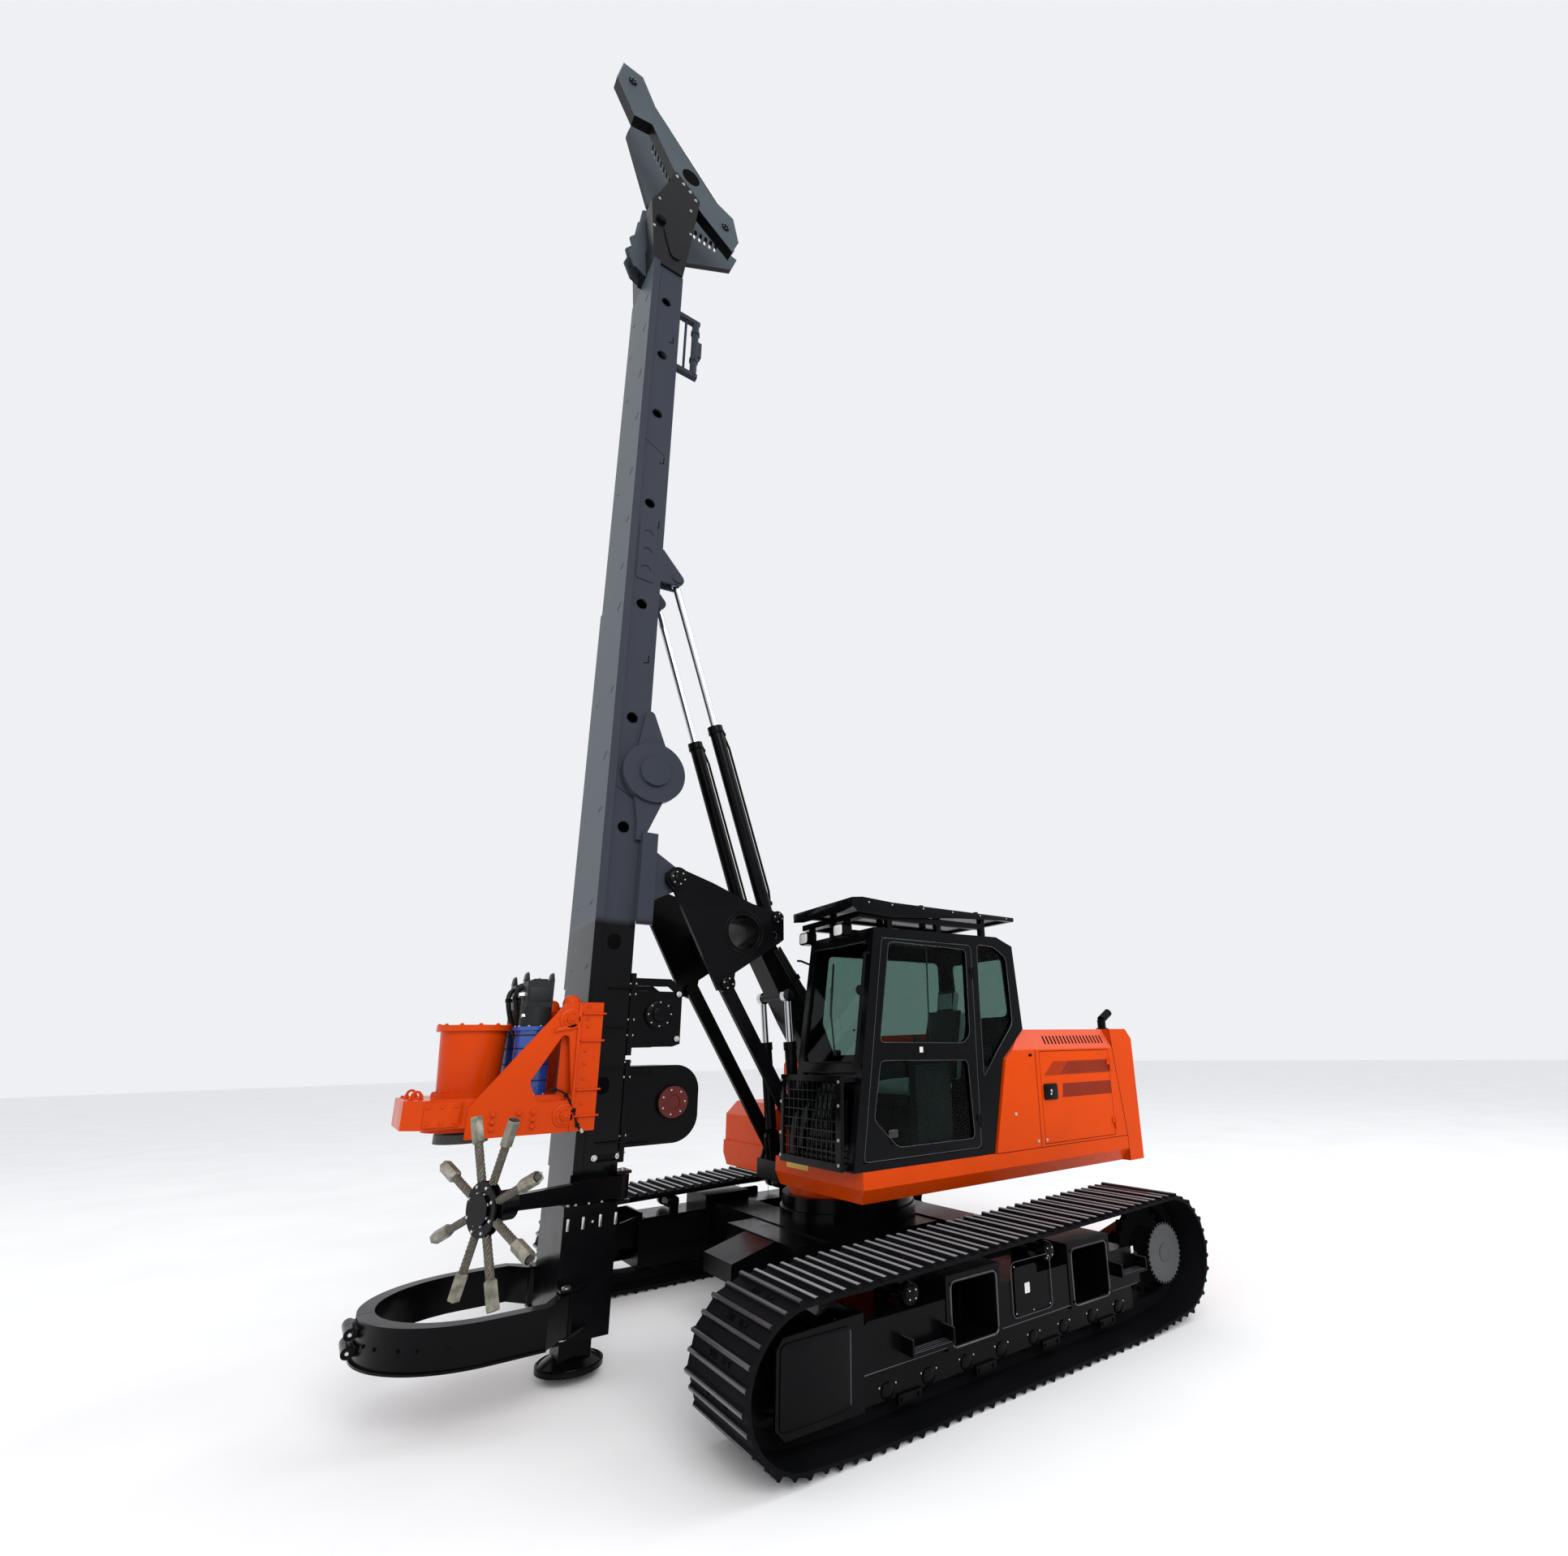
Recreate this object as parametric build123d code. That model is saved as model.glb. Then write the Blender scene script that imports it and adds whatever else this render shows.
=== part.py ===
from build123d import *
import math
import os

# Crawler pile drilling rig: an excavator-style carrier on extending tracks, with a
# parallel-linkage boom, an upright mast, a rotary drive on a sled, an auger cleaner
# and a hinged auger guide at the mast foot.
# Millimetres. +X is forward to the mast, +Y is the cab side, +Z is up, Z 0 is the ground.
# Places below are measured from the slewing axis; save() moves the whole rig so that its
# origin is the middle of its footprint.

# Running gaps
slide_gap = 0.3
swing_gap = 6.0
seat_gap = 0.5

# Tracks
track_y = 1870.0
shoe_width = 740.0
shoe_pitch = 190.0
shoe_plate = 18.0
grouser = 25.0
link_height = 80.0
link_width = 190.0
sprocket_x, sprocket_z, rear_wrap_r = -1710.0, 495.0, 425.0
idler_x, idler_z, front_wrap_r = 1745.0, 440.0, 390.0
ground_rear_x, ground_front_x, ground_r = -1250.0, 1380.0, 150.0

# Track frames
frame_half = 230.0
frame_bottom, frame_top = 340.0, 610.0
frame_rear_x, frame_front_x = -1370.0, 1350.0
roller_r, roller_shaft_r = 78.0, 30.0
roller_count = 8
roller_first_x, roller_last_x = -1120.0, 1120.0
carrier_r = 62.0
carrier_xs = (950.0, -330.0)
rail_half, rail_thick, rail_low = 165.0, 20.0, 160.0
port_rim = 8.0
hatch_x0, hatch_x1, hatch_low, hatch_high = -180.0, 50.0, 380.0, 680.0
step_places = ((700, 1040, 395), (-1330, -1010, 450))
step_reach = 110.0

# Axle beams that the track frames slide on
beam_xs = (430.0, -765.0)
beam_length_x, beam_height = 370.0, 330.0
beam_z = 515.0
beam_end_y = track_y - 90
beam_wall = 40.0
pad_thick = 10.0
socket_wall = 50.0

# Car body and slewing ring
body_half_x, body_half_y = 900.0, 620.0
body_bottom, body_top = 330.0, 820.0
nose_x = 1280.0
ring_r, ring_top = 600.0, 930.0
turntable_r = 540.0

# Upper structure
deck_half_y = 1400.0
deck_bottom, deck_top = 1060.0, 1290.0
deck_chamfer = 90.0
deck_front_left, deck_front_right = 810.0, 600.0
bay_rear_x, bay_left_y, bay_right_y = 60.0, 400.0, -430.0
front_beam_x, front_beam_end_y = 740.0, 90.0
seam_low_x, seam_high_x, hood_top = -2385.0, -2250.0, 2300.0
counterweight_rear_x, counterweight_low_x, counterweight_corner = -2750.0, -2600.0, 260.0
hood_front_x = -1130.0
hood_crease_z, hood_crease_y = 2120.0, deck_half_y - 90
panel = 40.0
exhaust_x, exhaust_y, exhaust_r, exhaust_top = -2440.0, 1180.0, 42.0, 2400.0
door_front_x, door_rear_x = -1140.0, -2200.0
door_low_z, door_high_z = 1310.0, 2105.0
door_hinge_zs = (1420, 1960)
slot_pitch, slot_width, slot_lean = 50.0, 22.0, 46.0
tank_front_x, tank_top = -100.0, 2080.0
toolbox_front_x, toolbox_top = 580.0, 1660.0
side_inner_y = 480.0

# Cab
cab_left_y = deck_half_y - 20
cab_right_y = cab_left_y - 960
cab_mid_y = (cab_left_y + cab_right_y) / 2
cab_wall, post_width = 50.0, 75.0
cab_hinge_zs = (1560, 2780)
cab_floor_z, cab_roof_z = 1290.0, 3110.0
cab_front_low_x, cab_front_high_x = 880.0, 660.0
cab_rear_top_x, cab_rear_mid_x, cab_rear_low_x = -940.0, -1010.0, -560.0
glass_thick, glass_inset = 6.0, 20.0
cab_door_rear_x = -420.0
guard_roof_z = 3300.0
guard_front_x = 930.0

# Boom and links, a parallelogram between the deck and the mast carrier
boom_foot = (170.0, 1740.0)
boom_knee = (560.0, 2480.0)
boom_head = (1020.0, 3150.0)
link_foot = (620.0, 1300.0)
link_head = (link_foot[0] + boom_head[0] - boom_foot[0], link_foot[1] + boom_head[1] - boom_foot[1])
boom_half = 140.0
hose_r, hose_pitch = 13.0, 30.0
top_hose_count, side_hose_count = 5, 3
top_hose_route = ((100.0, 1844.0), (408.0, 2566.0), (870.0, 3107.0))
side_hose_route = ((150.0, 1880.0), (440.0, 2500.0), (850.0, 3080.0))
link_y0, link_y1 = 310.0, 354.0
luff_base, luff_eye, luff_y = (685.0, 1420.0), (800.0, 2640.0), 225.0
luff_barrel_r, luff_rod_r, luff_barrel_length = 52.0, 30.0, 820.0
base_eye_half = 22.0

# Mast carrier and tilt cylinders
carrier_y0, carrier_y1 = 360.0, 400.0
mast_pivot = (1950.0, 3550.0)
cross_tube = (1330.0, 3150.0)
cross_tube_r, cross_hole_r = 185.0, 145.0
tilt_base, tilt_eye, tilt_y = (1010.0, 3300.0), (2080.0, 6440.0), 230.0
tilt_barrel_r, tilt_rod_r, tilt_barrel_length = 62.0, 34.0, 1870.0
pin_r = 32.0

# Mast
mast_rear_x, mast_front_x, mast_half = 2240.0, 2565.0, 300.0
mast_wall = 16.0
foot_top, mast_top = 1150.0, 10100.0
rail_x0, rail_y1 = 2505.0, 345.0
foot_rear_x, foot_front_x, foot_half, foot_bottom = 2220.0, 2590.0, 310.0, 300.0
foot_wall = 20.0
jack_x, jack_half, jack_plate_r, jack_plate = 2380.0, 110.0, 225.0, 36.0
jack_rest_z, jack_top = 60.0, 850.0
mast_hole_x, mast_hole_r = 2395.0, 48.0
mast_hole_zs = (9650.0, 8940.0, 8200.0, 7140.0, 6050.0, 4930.0, 3950.0)
tray_x0, tray_x1, tray_y, tray_low, tray_high = 2390.0, 2515.0, 550.0, 2700.0, 6350.0
tray_bracket_zs = (2800, 3700, 5150, 6250)
sheave_box_x, sheave_box_z, sheave_box_r = 2190.0, 4450.0, 265.0

# Sled and rotary drive
sled_low, sled_high = 1650.0, 2530.0
spindle_x = 3240.0
sled_plate_y, sled_plate = 430.0, 30.0
drive_low, drive_high, drive_front_x = 1720.0, 1900.0, 3640.0
drum_low_r, drum_high_r, drum_high = 190.0, 215.0, 2380.0
spindle_r, spindle_low = 110.0, 1600.0

# Winches
winch_axis, winch_half = (1990.0, 2460.0), 260.0
upper_low, upper_high = 2210.0, 2740.0

# Auger guide ring
guide_low, guide_high = 400.0, 640.0
guide_x, guide_r, guide_wall = 3030.0, 660.0, 95.0
guide_pin = (2560.0, 420.0)
latch_length = 60.0

# Auger cleaner
cleaner_pin = (2240.0, 420.0)
cleaner_low, cleaner_high = foot_top + 26, foot_top + 184
star_hub = (3212.0, 950.0, 1308.0)
star_r, star_hub_r, star_turn = 536.0, 150.0, 20.0
star_arms = 8

# Mast head
head_beam_y, head_beam_width, head_plate = 300.0, 120.0, 14.0
crown_half = head_beam_y + 20
head_front = (2950.0, 12440.0)
head_rear = (1800.0, 11235.0)
head_sheave_r, head_axle_r = 95.0, 30.0
near_beam_outline = ((3115, 12343), (3064, 12629), (2853, 12627), (2692, 12320), (1897, 11520), (1711, 11453),
                     (1631, 11142), (1700, 10938), (2097, 11217), (2423, 11565), (2706, 12016), (2899, 11961))
far_beam_outline = ((2840, 12500), (2790, 12750), (2620, 12790), (2422, 12470), (1627, 11700), (1410, 11670),
                    (1480, 11450), (2050, 11100), (2540, 11620))
slot_first, slot_last, slot_count = (2530.0, 12600.0), (2270.0, 12200.0), 8

footprint_middle = (guide_x + guide_r + latch_length + counterweight_rear_x) / 2


def save(name, *shapes):
    """Write one node, moved so that the origin is the middle of the footprint."""
    solids = [solid for shape in shapes for solid in shape.solids()]
    node = solids[0] if len(solids) == 1 else Compound(solids)
    export_step(node.moved(Location((-footprint_middle, 0, 0))), f"parts/{name}.step")


def box(x0, x1, y0, y1, z0, z1):
    return Pos((x0 + x1) / 2, (y0 + y1) / 2, (z0 + z1) / 2) * Box(x1 - x0, y1 - y0, z1 - z0)


def rod_y(x, z, y0, y1, r):
    return Pos(x, (y0 + y1) / 2, z) * Rot(90, 0, 0) * Cylinder(r, y1 - y0)


def rod_z(x, y, z0, z1, r):
    return Pos(x, y, (z0 + z1) / 2) * Cylinder(r, z1 - z0)


def side_face(face, y0, y1):
    """A face drawn in side view (X across, Z up), made solid from y0 to y1."""
    return extrude(Plane.XZ.offset(-y0) * face, amount=y0 - y1)


def side_plate(points, y0, y1):
    return side_face(make_face(Polyline(*points, close=True)), y0, y1)


def hull_face(circles):
    """The taut outline round circles of (x, z, r)."""
    return make_hull([CenterArc((x, z), r, 0, 360) for x, z, r in circles])


def hull(circles, y0, y1):
    return side_face(hull_face(circles), y0, y1)


def both_sides(shape):
    """A piece and its mirror image across the middle plane."""
    return [shape, mirror(shape, about=Plane.XZ)]


def side(shape, left):
    return shape if left else mirror(shape, about=Plane.XZ)


def tube_between(p, q, y, r, start, length):
    """A round bar from start to start + length along the line from p to q in side view."""
    run_x, run_z = q[0] - p[0], q[1] - p[1]
    reach = math.hypot(run_x, run_z)
    base = Plane(origin=(p[0] + run_x * start / reach, y, p[1] + run_z * start / reach),
                 z_dir=(run_x, 0, run_z))
    return extrude(base * Circle(r), amount=length)


# Tracks

def track_circles(inset):
    """The circles that the belt wraps, drawn in by inset from the shoes' outer face."""
    return [(sprocket_x, sprocket_z, rear_wrap_r - inset),
            (idler_x, idler_z, front_wrap_r - inset),
            (ground_rear_x, grouser + ground_r, ground_r - inset),
            (ground_front_x, grouser + ground_r, ground_r - inset)]


def shoe_outline():
    """One polygon round the belt with two grousers on each shoe."""
    loop = hull_face(track_circles(0)).faces()[0].outer_wire()
    count = round(loop.length / shoe_pitch)
    half = shoe_pitch * 0.49
    # along the shoe as a share of half its length, and height above its plate
    profile = ((-1.0, 0), (-0.9, grouser), (-0.72, grouser), (-0.6, 0),
               (0.05, 0), (0.17, grouser * 0.8), (0.33, grouser * 0.8), (0.45, 0), (1.0, 0))
    middle = loop.center()
    points = []
    for shoe in range(count):
        here = loop @ ((shoe + 0.5) / count)
        along = (loop % ((shoe + 0.5) / count)).normalized()
        out = Vector(along.Y, -along.X, 0)
        if out.dot(here - middle) < 0:
            out = out * -1
        points += [here + along * (half * share) + out * height for share, height in profile]
    return make_face(Polyline(*points, close=True))


def track(left):
    plates = side_face(shoe_outline() - hull_face(track_circles(shoe_plate)),
                       track_y - shoe_width / 2, track_y + shoe_width / 2)
    links = side_face(hull_face(track_circles(shoe_plate)) - hull_face(track_circles(shoe_plate + link_height)),
                      track_y - link_width / 2, track_y + link_width / 2)
    return side(plates + links, left)


def top_run_z(x):
    """Height of the belt's inner face over the track frame."""
    rise = (idler_z + front_wrap_r - sprocket_z - rear_wrap_r) / (idler_x - sprocket_x)
    return sprocket_z + rear_wrap_r + rise * (x - sprocket_x) - shoe_plate - link_height


def sprocket(left):
    reach = rear_wrap_r - shoe_plate - link_height - seat_gap
    teeth = 20
    points = []
    for tooth in range(teeth):
        for share, r in ((0.0, reach - 34), (0.22, reach - 34), (0.38, reach - 2), (0.62, reach - 2), (0.78,
                reach - 34)):
            angle = 2 * math.pi * (tooth + share) / teeth
            points.append((sprocket_x + r * math.cos(angle), sprocket_z + r * math.sin(angle)))
    wheel = side_plate(points, track_y - 30, track_y + 30)
    drum = rod_y(sprocket_x, sprocket_z, track_y - 60, track_y + frame_half - 10, 165)
    cap_points = []
    for tooth in range(teeth):
        for share, r in ((0.0, 205), (0.25, 205), (0.4, 225), (0.6, 225), (0.75, 205)):
            angle = 2 * math.pi * (tooth + share) / teeth
            cap_points.append((sprocket_x + r * math.cos(angle), sprocket_z + r * math.sin(angle)))
    cap = side_plate(cap_points, track_y + frame_half - 10, track_y + frame_half + 14)
    return side(wheel + drum + cap, left)


def idler(left):
    reach = front_wrap_r - shoe_plate - link_height - seat_gap
    wheel = rod_y(idler_x, idler_z, track_y - 75, track_y + 75, reach)
    for y in (track_y - 75, track_y + 35):
        wheel -= rod_y(idler_x, idler_z, y, y + 40, reach - 60) - rod_y(idler_x, idler_z, y, y + 40, 90)
    return side(wheel + rod_y(idler_x, idler_z, track_y - 100, track_y + 100, 45), left)


def rollers(left):
    z = grouser + shoe_plate + link_height + seat_gap + roller_r
    step = (roller_last_x - roller_first_x) / (roller_count - 1)
    inner = rail_half
    parts = []
    for index in range(roller_count):
        x = roller_first_x + index * step
        parts.append(rod_y(x, z, track_y - 88, track_y + 88, roller_r)
                     + rod_y(x, z, track_y - 125, track_y - link_width / 2 - 3, roller_r + 16)
                     + rod_y(x, z, track_y + link_width / 2 + 3, track_y + 125, roller_r + 16)
                     + rod_y(x, z, track_y - inner, track_y + inner, roller_shaft_r))
    for x in carrier_xs:
        top = top_run_z(x) - seat_gap - carrier_r
        parts.append(rod_y(x, top, track_y - 80, track_y + 80, carrier_r)
                     + rod_y(x, top, track_y - 80, track_y + frame_half - 60, roller_shaft_r)
                     + rod_y(x, top, track_y + frame_half - 60, track_y + frame_half - 5, carrier_r))
    return [side(part, left) for part in parts]


def socket_box(x, grow):
    half = beam_length_x / 2 + grow
    high = beam_height / 2 + grow
    return x - half, x + half, beam_z - high, beam_z + high


def track_frame(left):
    y0, y1 = track_y - frame_half, track_y + frame_half
    body = side_plate([(frame_rear_x, frame_bottom), (frame_rear_x, frame_top - 60),
                       (frame_rear_x + 120, frame_top), (frame_front_x - 60, frame_top),
                       (frame_front_x, frame_top - 40), (frame_front_x, frame_bottom)], y0, y1)
    for x in beam_xs:
        a, b, low, high = socket_box(x, pad_thick + socket_wall)
        body += box(a, b, y0 - 30, y1 + port_rim, low + 25, high)
    for y in (track_y - rail_half - rail_thick, track_y + rail_half):
        body += box(frame_rear_x + 60, frame_front_x - 40, y, y + rail_thick, rail_low, frame_bottom)
    step = (roller_last_x - roller_first_x) / (roller_count - 1)
    for index in range(1, roller_count, 2):
        x = roller_first_x + (index - 0.5) * step
        body += box(x - 90, x + 90, track_y + rail_half, y1 - 25, rail_low - 45, rail_low + 10)
    for x in carrier_xs:
        top = top_run_z(x) - seat_gap - carrier_r
        body += box(x - 45, x + 45, track_y - 110, track_y - 80, frame_top, top + 40)
    fork = hull([(idler_x, idler_z, 70), (frame_front_x, 400, 60), (frame_front_x, 560, 50)],
                track_y - 130, track_y - 100)
    body += fork + mirror(fork, about=Plane.XZ.offset(-track_y))
    guard = side_plate([(frame_front_x - 30, 165), (frame_front_x - 30, 665), (1860, 650),
                        (1900, 600), (1900, 230), (1840, 165)], y1 - 20, y1 + 4)
    body += guard + box(frame_front_x - 30, frame_front_x - 8, y0, y1 + 4, 165, 665)
    body += hull([(sprocket_x, sprocket_z, 185), (frame_rear_x + 40, 475, 130)], track_y - 170, track_y - 60)
    for x0, x1, z in step_places:
        body += box(x0, x1, y1, y1 + step_reach, z, z + 14)
        for x in (x0, x1 - 14):
            body += box(x, x + 14, y1, y1 + step_reach, z, z + 90)
    hatch = RectangleRounded(hatch_x1 - hatch_x0, hatch_high - hatch_low, 30)
    body += side_face(Pos((hatch_x0 + hatch_x1) / 2, (hatch_low + hatch_high) / 2) * hatch, y1, y1 + 10)
    for x in beam_xs:
        a, b, low, high = socket_box(x, pad_thick)
        body -= box(a, b, y0 - 40, y1 + port_rim + 10, low, high)
    return side(body, left)


def car_body():
    body = box(-body_half_x, body_half_x, -body_half_y, body_half_y, body_bottom, body_top - 150)
    body += rod_z(0, 0, body_top - 160, body_top, ring_r + 20)
    body += side_plate([(body_half_x, 360), (nose_x, 420), (nose_x, 560), (body_half_x, 660)], -260, 260)
    for x in beam_xs:
        a, b, low, high = socket_box(x, 0)
        body += box(a, b, -beam_end_y, beam_end_y, low, high)
        for sign in (-1, 1):
            y0, y1 = sorted((sign * beam_end_y, sign * (body_half_y + 40)))
            body -= box(a + beam_wall, b - beam_wall, y0, y1, low + beam_wall, high - beam_wall)
            y0, y1 = sorted((sign * (beam_end_y - 140), sign * (beam_end_y - 40)))
            body += box(a, b, y0, y1, low - pad_thick + slide_gap, low)
            body += box(a, b, y0, y1, high, high + pad_thick - slide_gap)
    return body


def slewing_ring():
    ring = rod_z(0, 0, body_top, ring_top, ring_r)
    return ring - rod_z(0, 0, body_top, ring_top, ring_r - 150)


# Upper structure

def deck():
    outline = Polyline((seam_low_x, -deck_half_y), (deck_front_right, -deck_half_y), (deck_front_right,
            bay_right_y),
                       (bay_rear_x, bay_right_y), (bay_rear_x, bay_left_y), (front_beam_x, bay_left_y),
                       (front_beam_x, front_beam_end_y), (deck_front_left, front_beam_end_y),
                       (deck_front_left, deck_half_y), (seam_low_x, deck_half_y), close=True)
    body = extrude(Pos(0, 0, deck_bottom) * make_face(outline), amount=deck_top - deck_bottom)
    for sign in (-1, 1):
        edge = sign * deck_half_y
        wedge = extrude(Plane.YZ.offset(seam_low_x) * make_face(Polyline(
            (edge, deck_bottom), (edge - sign * deck_chamfer, deck_bottom), (edge,
                    deck_bottom + deck_chamfer + 20),
            close=True)), amount=deck_front_left - seam_low_x)
        body -= wedge
    body -= side_plate([(deck_front_left, deck_bottom), (deck_front_left - 50, deck_bottom),
                        (deck_front_left, deck_bottom + deck_chamfer + 20)], front_beam_end_y, deck_half_y)
    return body + rod_z(0, 0, ring_top + slide_gap, deck_bottom, turntable_r)


def main_frame():
    floor = box(bay_rear_x, front_beam_x - 5, -395, 395, deck_bottom, deck_bottom + 160)
    ear = hull([(boom_foot[0], boom_foot[1], 95), (bay_rear_x + 40, 1100, 40), (440, 1100, 40)],
               boom_half + swing_gap, boom_half + swing_gap + 40)
    for y in (link_y0 - 30, link_y1 + swing_gap):
        lug = hull([(link_foot[0], link_foot[1], 62), (link_foot[0] - 60, 1180, 60),
                    (link_foot[0] + 40, 1180, 60)],
                   y, y + 24)
        ear += lug
    for y in (luff_y - base_eye_half - swing_gap - 22, luff_y + base_eye_half + swing_gap):
        ear += hull([(luff_base[0], luff_base[1], 50), (luff_base[0] - 60, 1160, 40),
                     (luff_base[0] - 30, 1160, 40)],
                    y, y + 22)
    frame = floor
    for shape in both_sides(ear):
        frame += shape
    frame += rod_y(boom_foot[0], boom_foot[1], -boom_half - 60, boom_half + 60, pin_r)
    for sign in (-1, 1):
        y0, y1 = sorted((sign * (link_y0 - 30), sign * (link_y1 + 40)))
        frame += rod_y(link_foot[0], link_foot[1], y0, y1, pin_r)
        y0, y1 = sorted((sign * (luff_y - 50), sign * (luff_y + 50)))
        frame += rod_y(luff_base[0], luff_base[1], y0, y1, pin_r)
    return frame


def hood_section(inset):
    y, z = deck_half_y - inset, deck_top
    return Polyline((-y, z), (-y, hood_crease_z - inset * 0.4), (-hood_crease_y + inset * 0.5,
            hood_top - inset),
                    (hood_crease_y - inset * 0.5, hood_top - inset), (y, hood_crease_z - inset * 0.4), (y,
                            z), close=True)


def behind_seam(gap):
    """All that lies behind the slanted seam between hood and counterweight."""
    return side_plate([(seam_low_x + gap, deck_top - 400), (seam_low_x + gap, deck_top),
                       (seam_high_x + gap, hood_top + 1),
                       (seam_high_x + gap, hood_top + 200), (-3200, hood_top + 200), (-3200, deck_top - 400)],
                      -1600, 1600)


def hood():
    length = hood_front_x - seam_low_x
    shell = extrude(Plane.YZ.offset(seam_low_x) * make_face(hood_section(0)), amount=length)
    shell -= extrude(Plane.YZ.offset(seam_low_x - 10) * make_face(hood_section(panel)),
                     amount=length - panel + 10)
    shell -= behind_seam(4)
    for sign in (-1, 1):
        y0, y1 = sorted((sign * (deck_half_y + 10), sign * (deck_half_y - panel - 30)))
        shell -= box(door_rear_x, door_front_x - panel, y0, y1, door_low_z, door_high_z)
    for index in range(18):
        x = -2170 + index * slot_pitch
        for slot in both_sides(box(x, x + slot_width, hood_crease_y + 20, deck_half_y + 5,
                                   hood_crease_z + 45, hood_top - 60)):
            shell -= slot
    for index in range(7):
        x = -2130 + index * 130
        shell -= box(x, x + 90, 300, 1150, hood_top - panel - 5, hood_top + 5)
    for lug in hood_hinges():
        shell += lug
    return shell


def side_door(left):
    """The engine door with two grilles of slanted slots and its latch plate."""
    gap = swing_gap
    outer, inner = deck_half_y, deck_half_y - panel
    door = box(door_rear_x + gap, door_front_x - panel - gap, inner, outer, door_low_z + gap,
               door_high_z - gap)
    for x0, x1, z0, z1 in ((-2200, -1290, 1905, 1985), (-2200, -1500, 1705, 1785)):
        for index in range(int((x1 - x0 - 80) / slot_pitch)):
            x = x0 + 50 + index * slot_pitch
            door -= side_plate([(x, z0), (x + slot_width, z0), (x + slot_width + slot_lean, z1),
                                (x + slot_lean, z1)],
                               inner - 5, outer + 5)
    for z in door_hinge_zs:
        door += rod_z(door_rear_x + 2, outer + 12, z, z + 50, 10)
        door += box(door_rear_x + 2, door_rear_x + 40, outer - 2, outer + 12, z, z + 50)
    latch = side_face(Pos(-1315, 1750) * RectangleRounded(110, 90, 18), outer, outer + 8)
    return side(door + latch, left)


def hood_hinges():
    parts = []
    for z in door_hinge_zs:
        lug = rod_z(door_rear_x + 2, deck_half_y + 12, z - 50, z - slide_gap, 10)
        lug += box(door_rear_x - 36, door_rear_x + 2, deck_half_y, deck_half_y + 12, z - 50, z - slide_gap)
        parts += both_sides(lug)
    return parts


def counterweight():
    profile = [(seam_low_x, deck_bottom), (counterweight_low_x, deck_bottom), (counterweight_low_x - 135,
            1120),
               (counterweight_rear_x, 1200), (counterweight_rear_x + 80, 2130), (counterweight_rear_x + 230,
                       hood_top),
               (seam_high_x, hood_top), (seam_low_x, deck_top)]
    body = side_plate(profile, -deck_half_y, deck_half_y)
    for sign in (-1, 1):
        edge = sign * (deck_half_y + 10)
        body -= extrude(Pos(0, 0, deck_bottom - 50) * make_face(Polyline(
            (counterweight_rear_x - 20, edge), (counterweight_low_x, edge),
            (counterweight_rear_x - 20, edge - sign * counterweight_corner), close=True)),
            amount=hood_top - deck_bottom + 100)
    for y in (-500, 500):
        body -= rod_z(-2430, y, hood_top - 120, hood_top + 20, 60)
        body += rod_y(-2430, hood_top - 50, y - 62, y + 62, 22)
    return body


def rear_panel():
    """The fixed side panel between the cab and the engine door."""
    gap = 12
    outline = [(hood_front_x, deck_top), (hood_front_x, hood_top), (cab_rear_mid_x - 30, hood_top),
               (-735 - gap, 2045), (cab_rear_low_x - gap, deck_top)]
    body = side_plate(outline, cab_right_y, deck_half_y)
    body -= extrude(Plane.YZ.offset(hood_front_x - 5) * make_face(Polyline(
        (deck_half_y + 1, hood_crease_z), (deck_half_y + 1, hood_top + 5), (hood_crease_y, hood_top + 5),
        (hood_crease_y, hood_top), (deck_half_y, hood_crease_z), close=True)), amount=900)
    return body


def right_tank():
    body = box(hood_front_x, tank_front_x, -deck_half_y, -side_inner_y, deck_top, tank_top)
    return chamfer(body.edges().filter_by(Axis.X).group_by(Axis.Z)[-1], 70)


def toolbox():
    body = box(tank_front_x, toolbox_front_x, -deck_half_y, -side_inner_y, deck_top, toolbox_top)
    front = body.edges().filter_by(Axis.Y).group_by(Axis.Z)[-1].sort_by(Axis.X)[-1]
    return chamfer(front, 120)


# Cab

def cab_points():
    return [(cab_front_low_x, cab_floor_z), (cab_front_high_x, cab_roof_z), (-740, cab_roof_z + 15),
            (cab_rear_top_x, cab_roof_z - 60), (cab_rear_mid_x, 2300), (-730, 2050), (cab_rear_low_x,
                    cab_floor_z)]


def cab_face(inset):
    face = make_face(Polyline(*cab_points(), close=True))
    return offset(face, amount=-inset, kind=Kind.INTERSECTION) if inset else face


def rounded(points, r):
    """A side-view outline with its corners rounded."""
    face = make_face(Polyline(*points, close=True))
    return fillet(face.vertices(), r)


def front_x(z):
    """The cab's front line leans back towards its roof."""
    return cab_front_low_x + (cab_front_high_x - cab_front_low_x) * (z - cab_floor_z) / (cab_roof_z - cab_floor_z)


def door_points(gap):
    low, high = 1345 + gap, 3035 - gap
    return [(cab_door_rear_x + gap, low), (cab_door_rear_x + gap, high), (front_x(high) - 78 - gap, high),
            (front_x(low) - 78 - gap, low)]


def door_windows():
    """The door's upper and lower panes in side view."""
    rear = cab_door_rear_x + 75
    upper = [(rear + 80, 2190), (rear, 2250), (rear, 2985), (front_x(3005) - 160, 3005),
             (front_x(2205) - 150, 2205)]
    lower = [(rear, 1430), (rear + 40, 2050), (front_x(2070) - 170, 2070), (front_x(1640) - 150, 1640),
             (front_x(1430) - 400, 1430)]
    return [rounded(pane, 40) for pane in (upper, lower)]


def quarter_window():
    return rounded([(-485, 1900), (-485, 3045), (-700, 3030), (-850, 2940), (-880, 2350), (-660, 2110)], 50)


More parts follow.
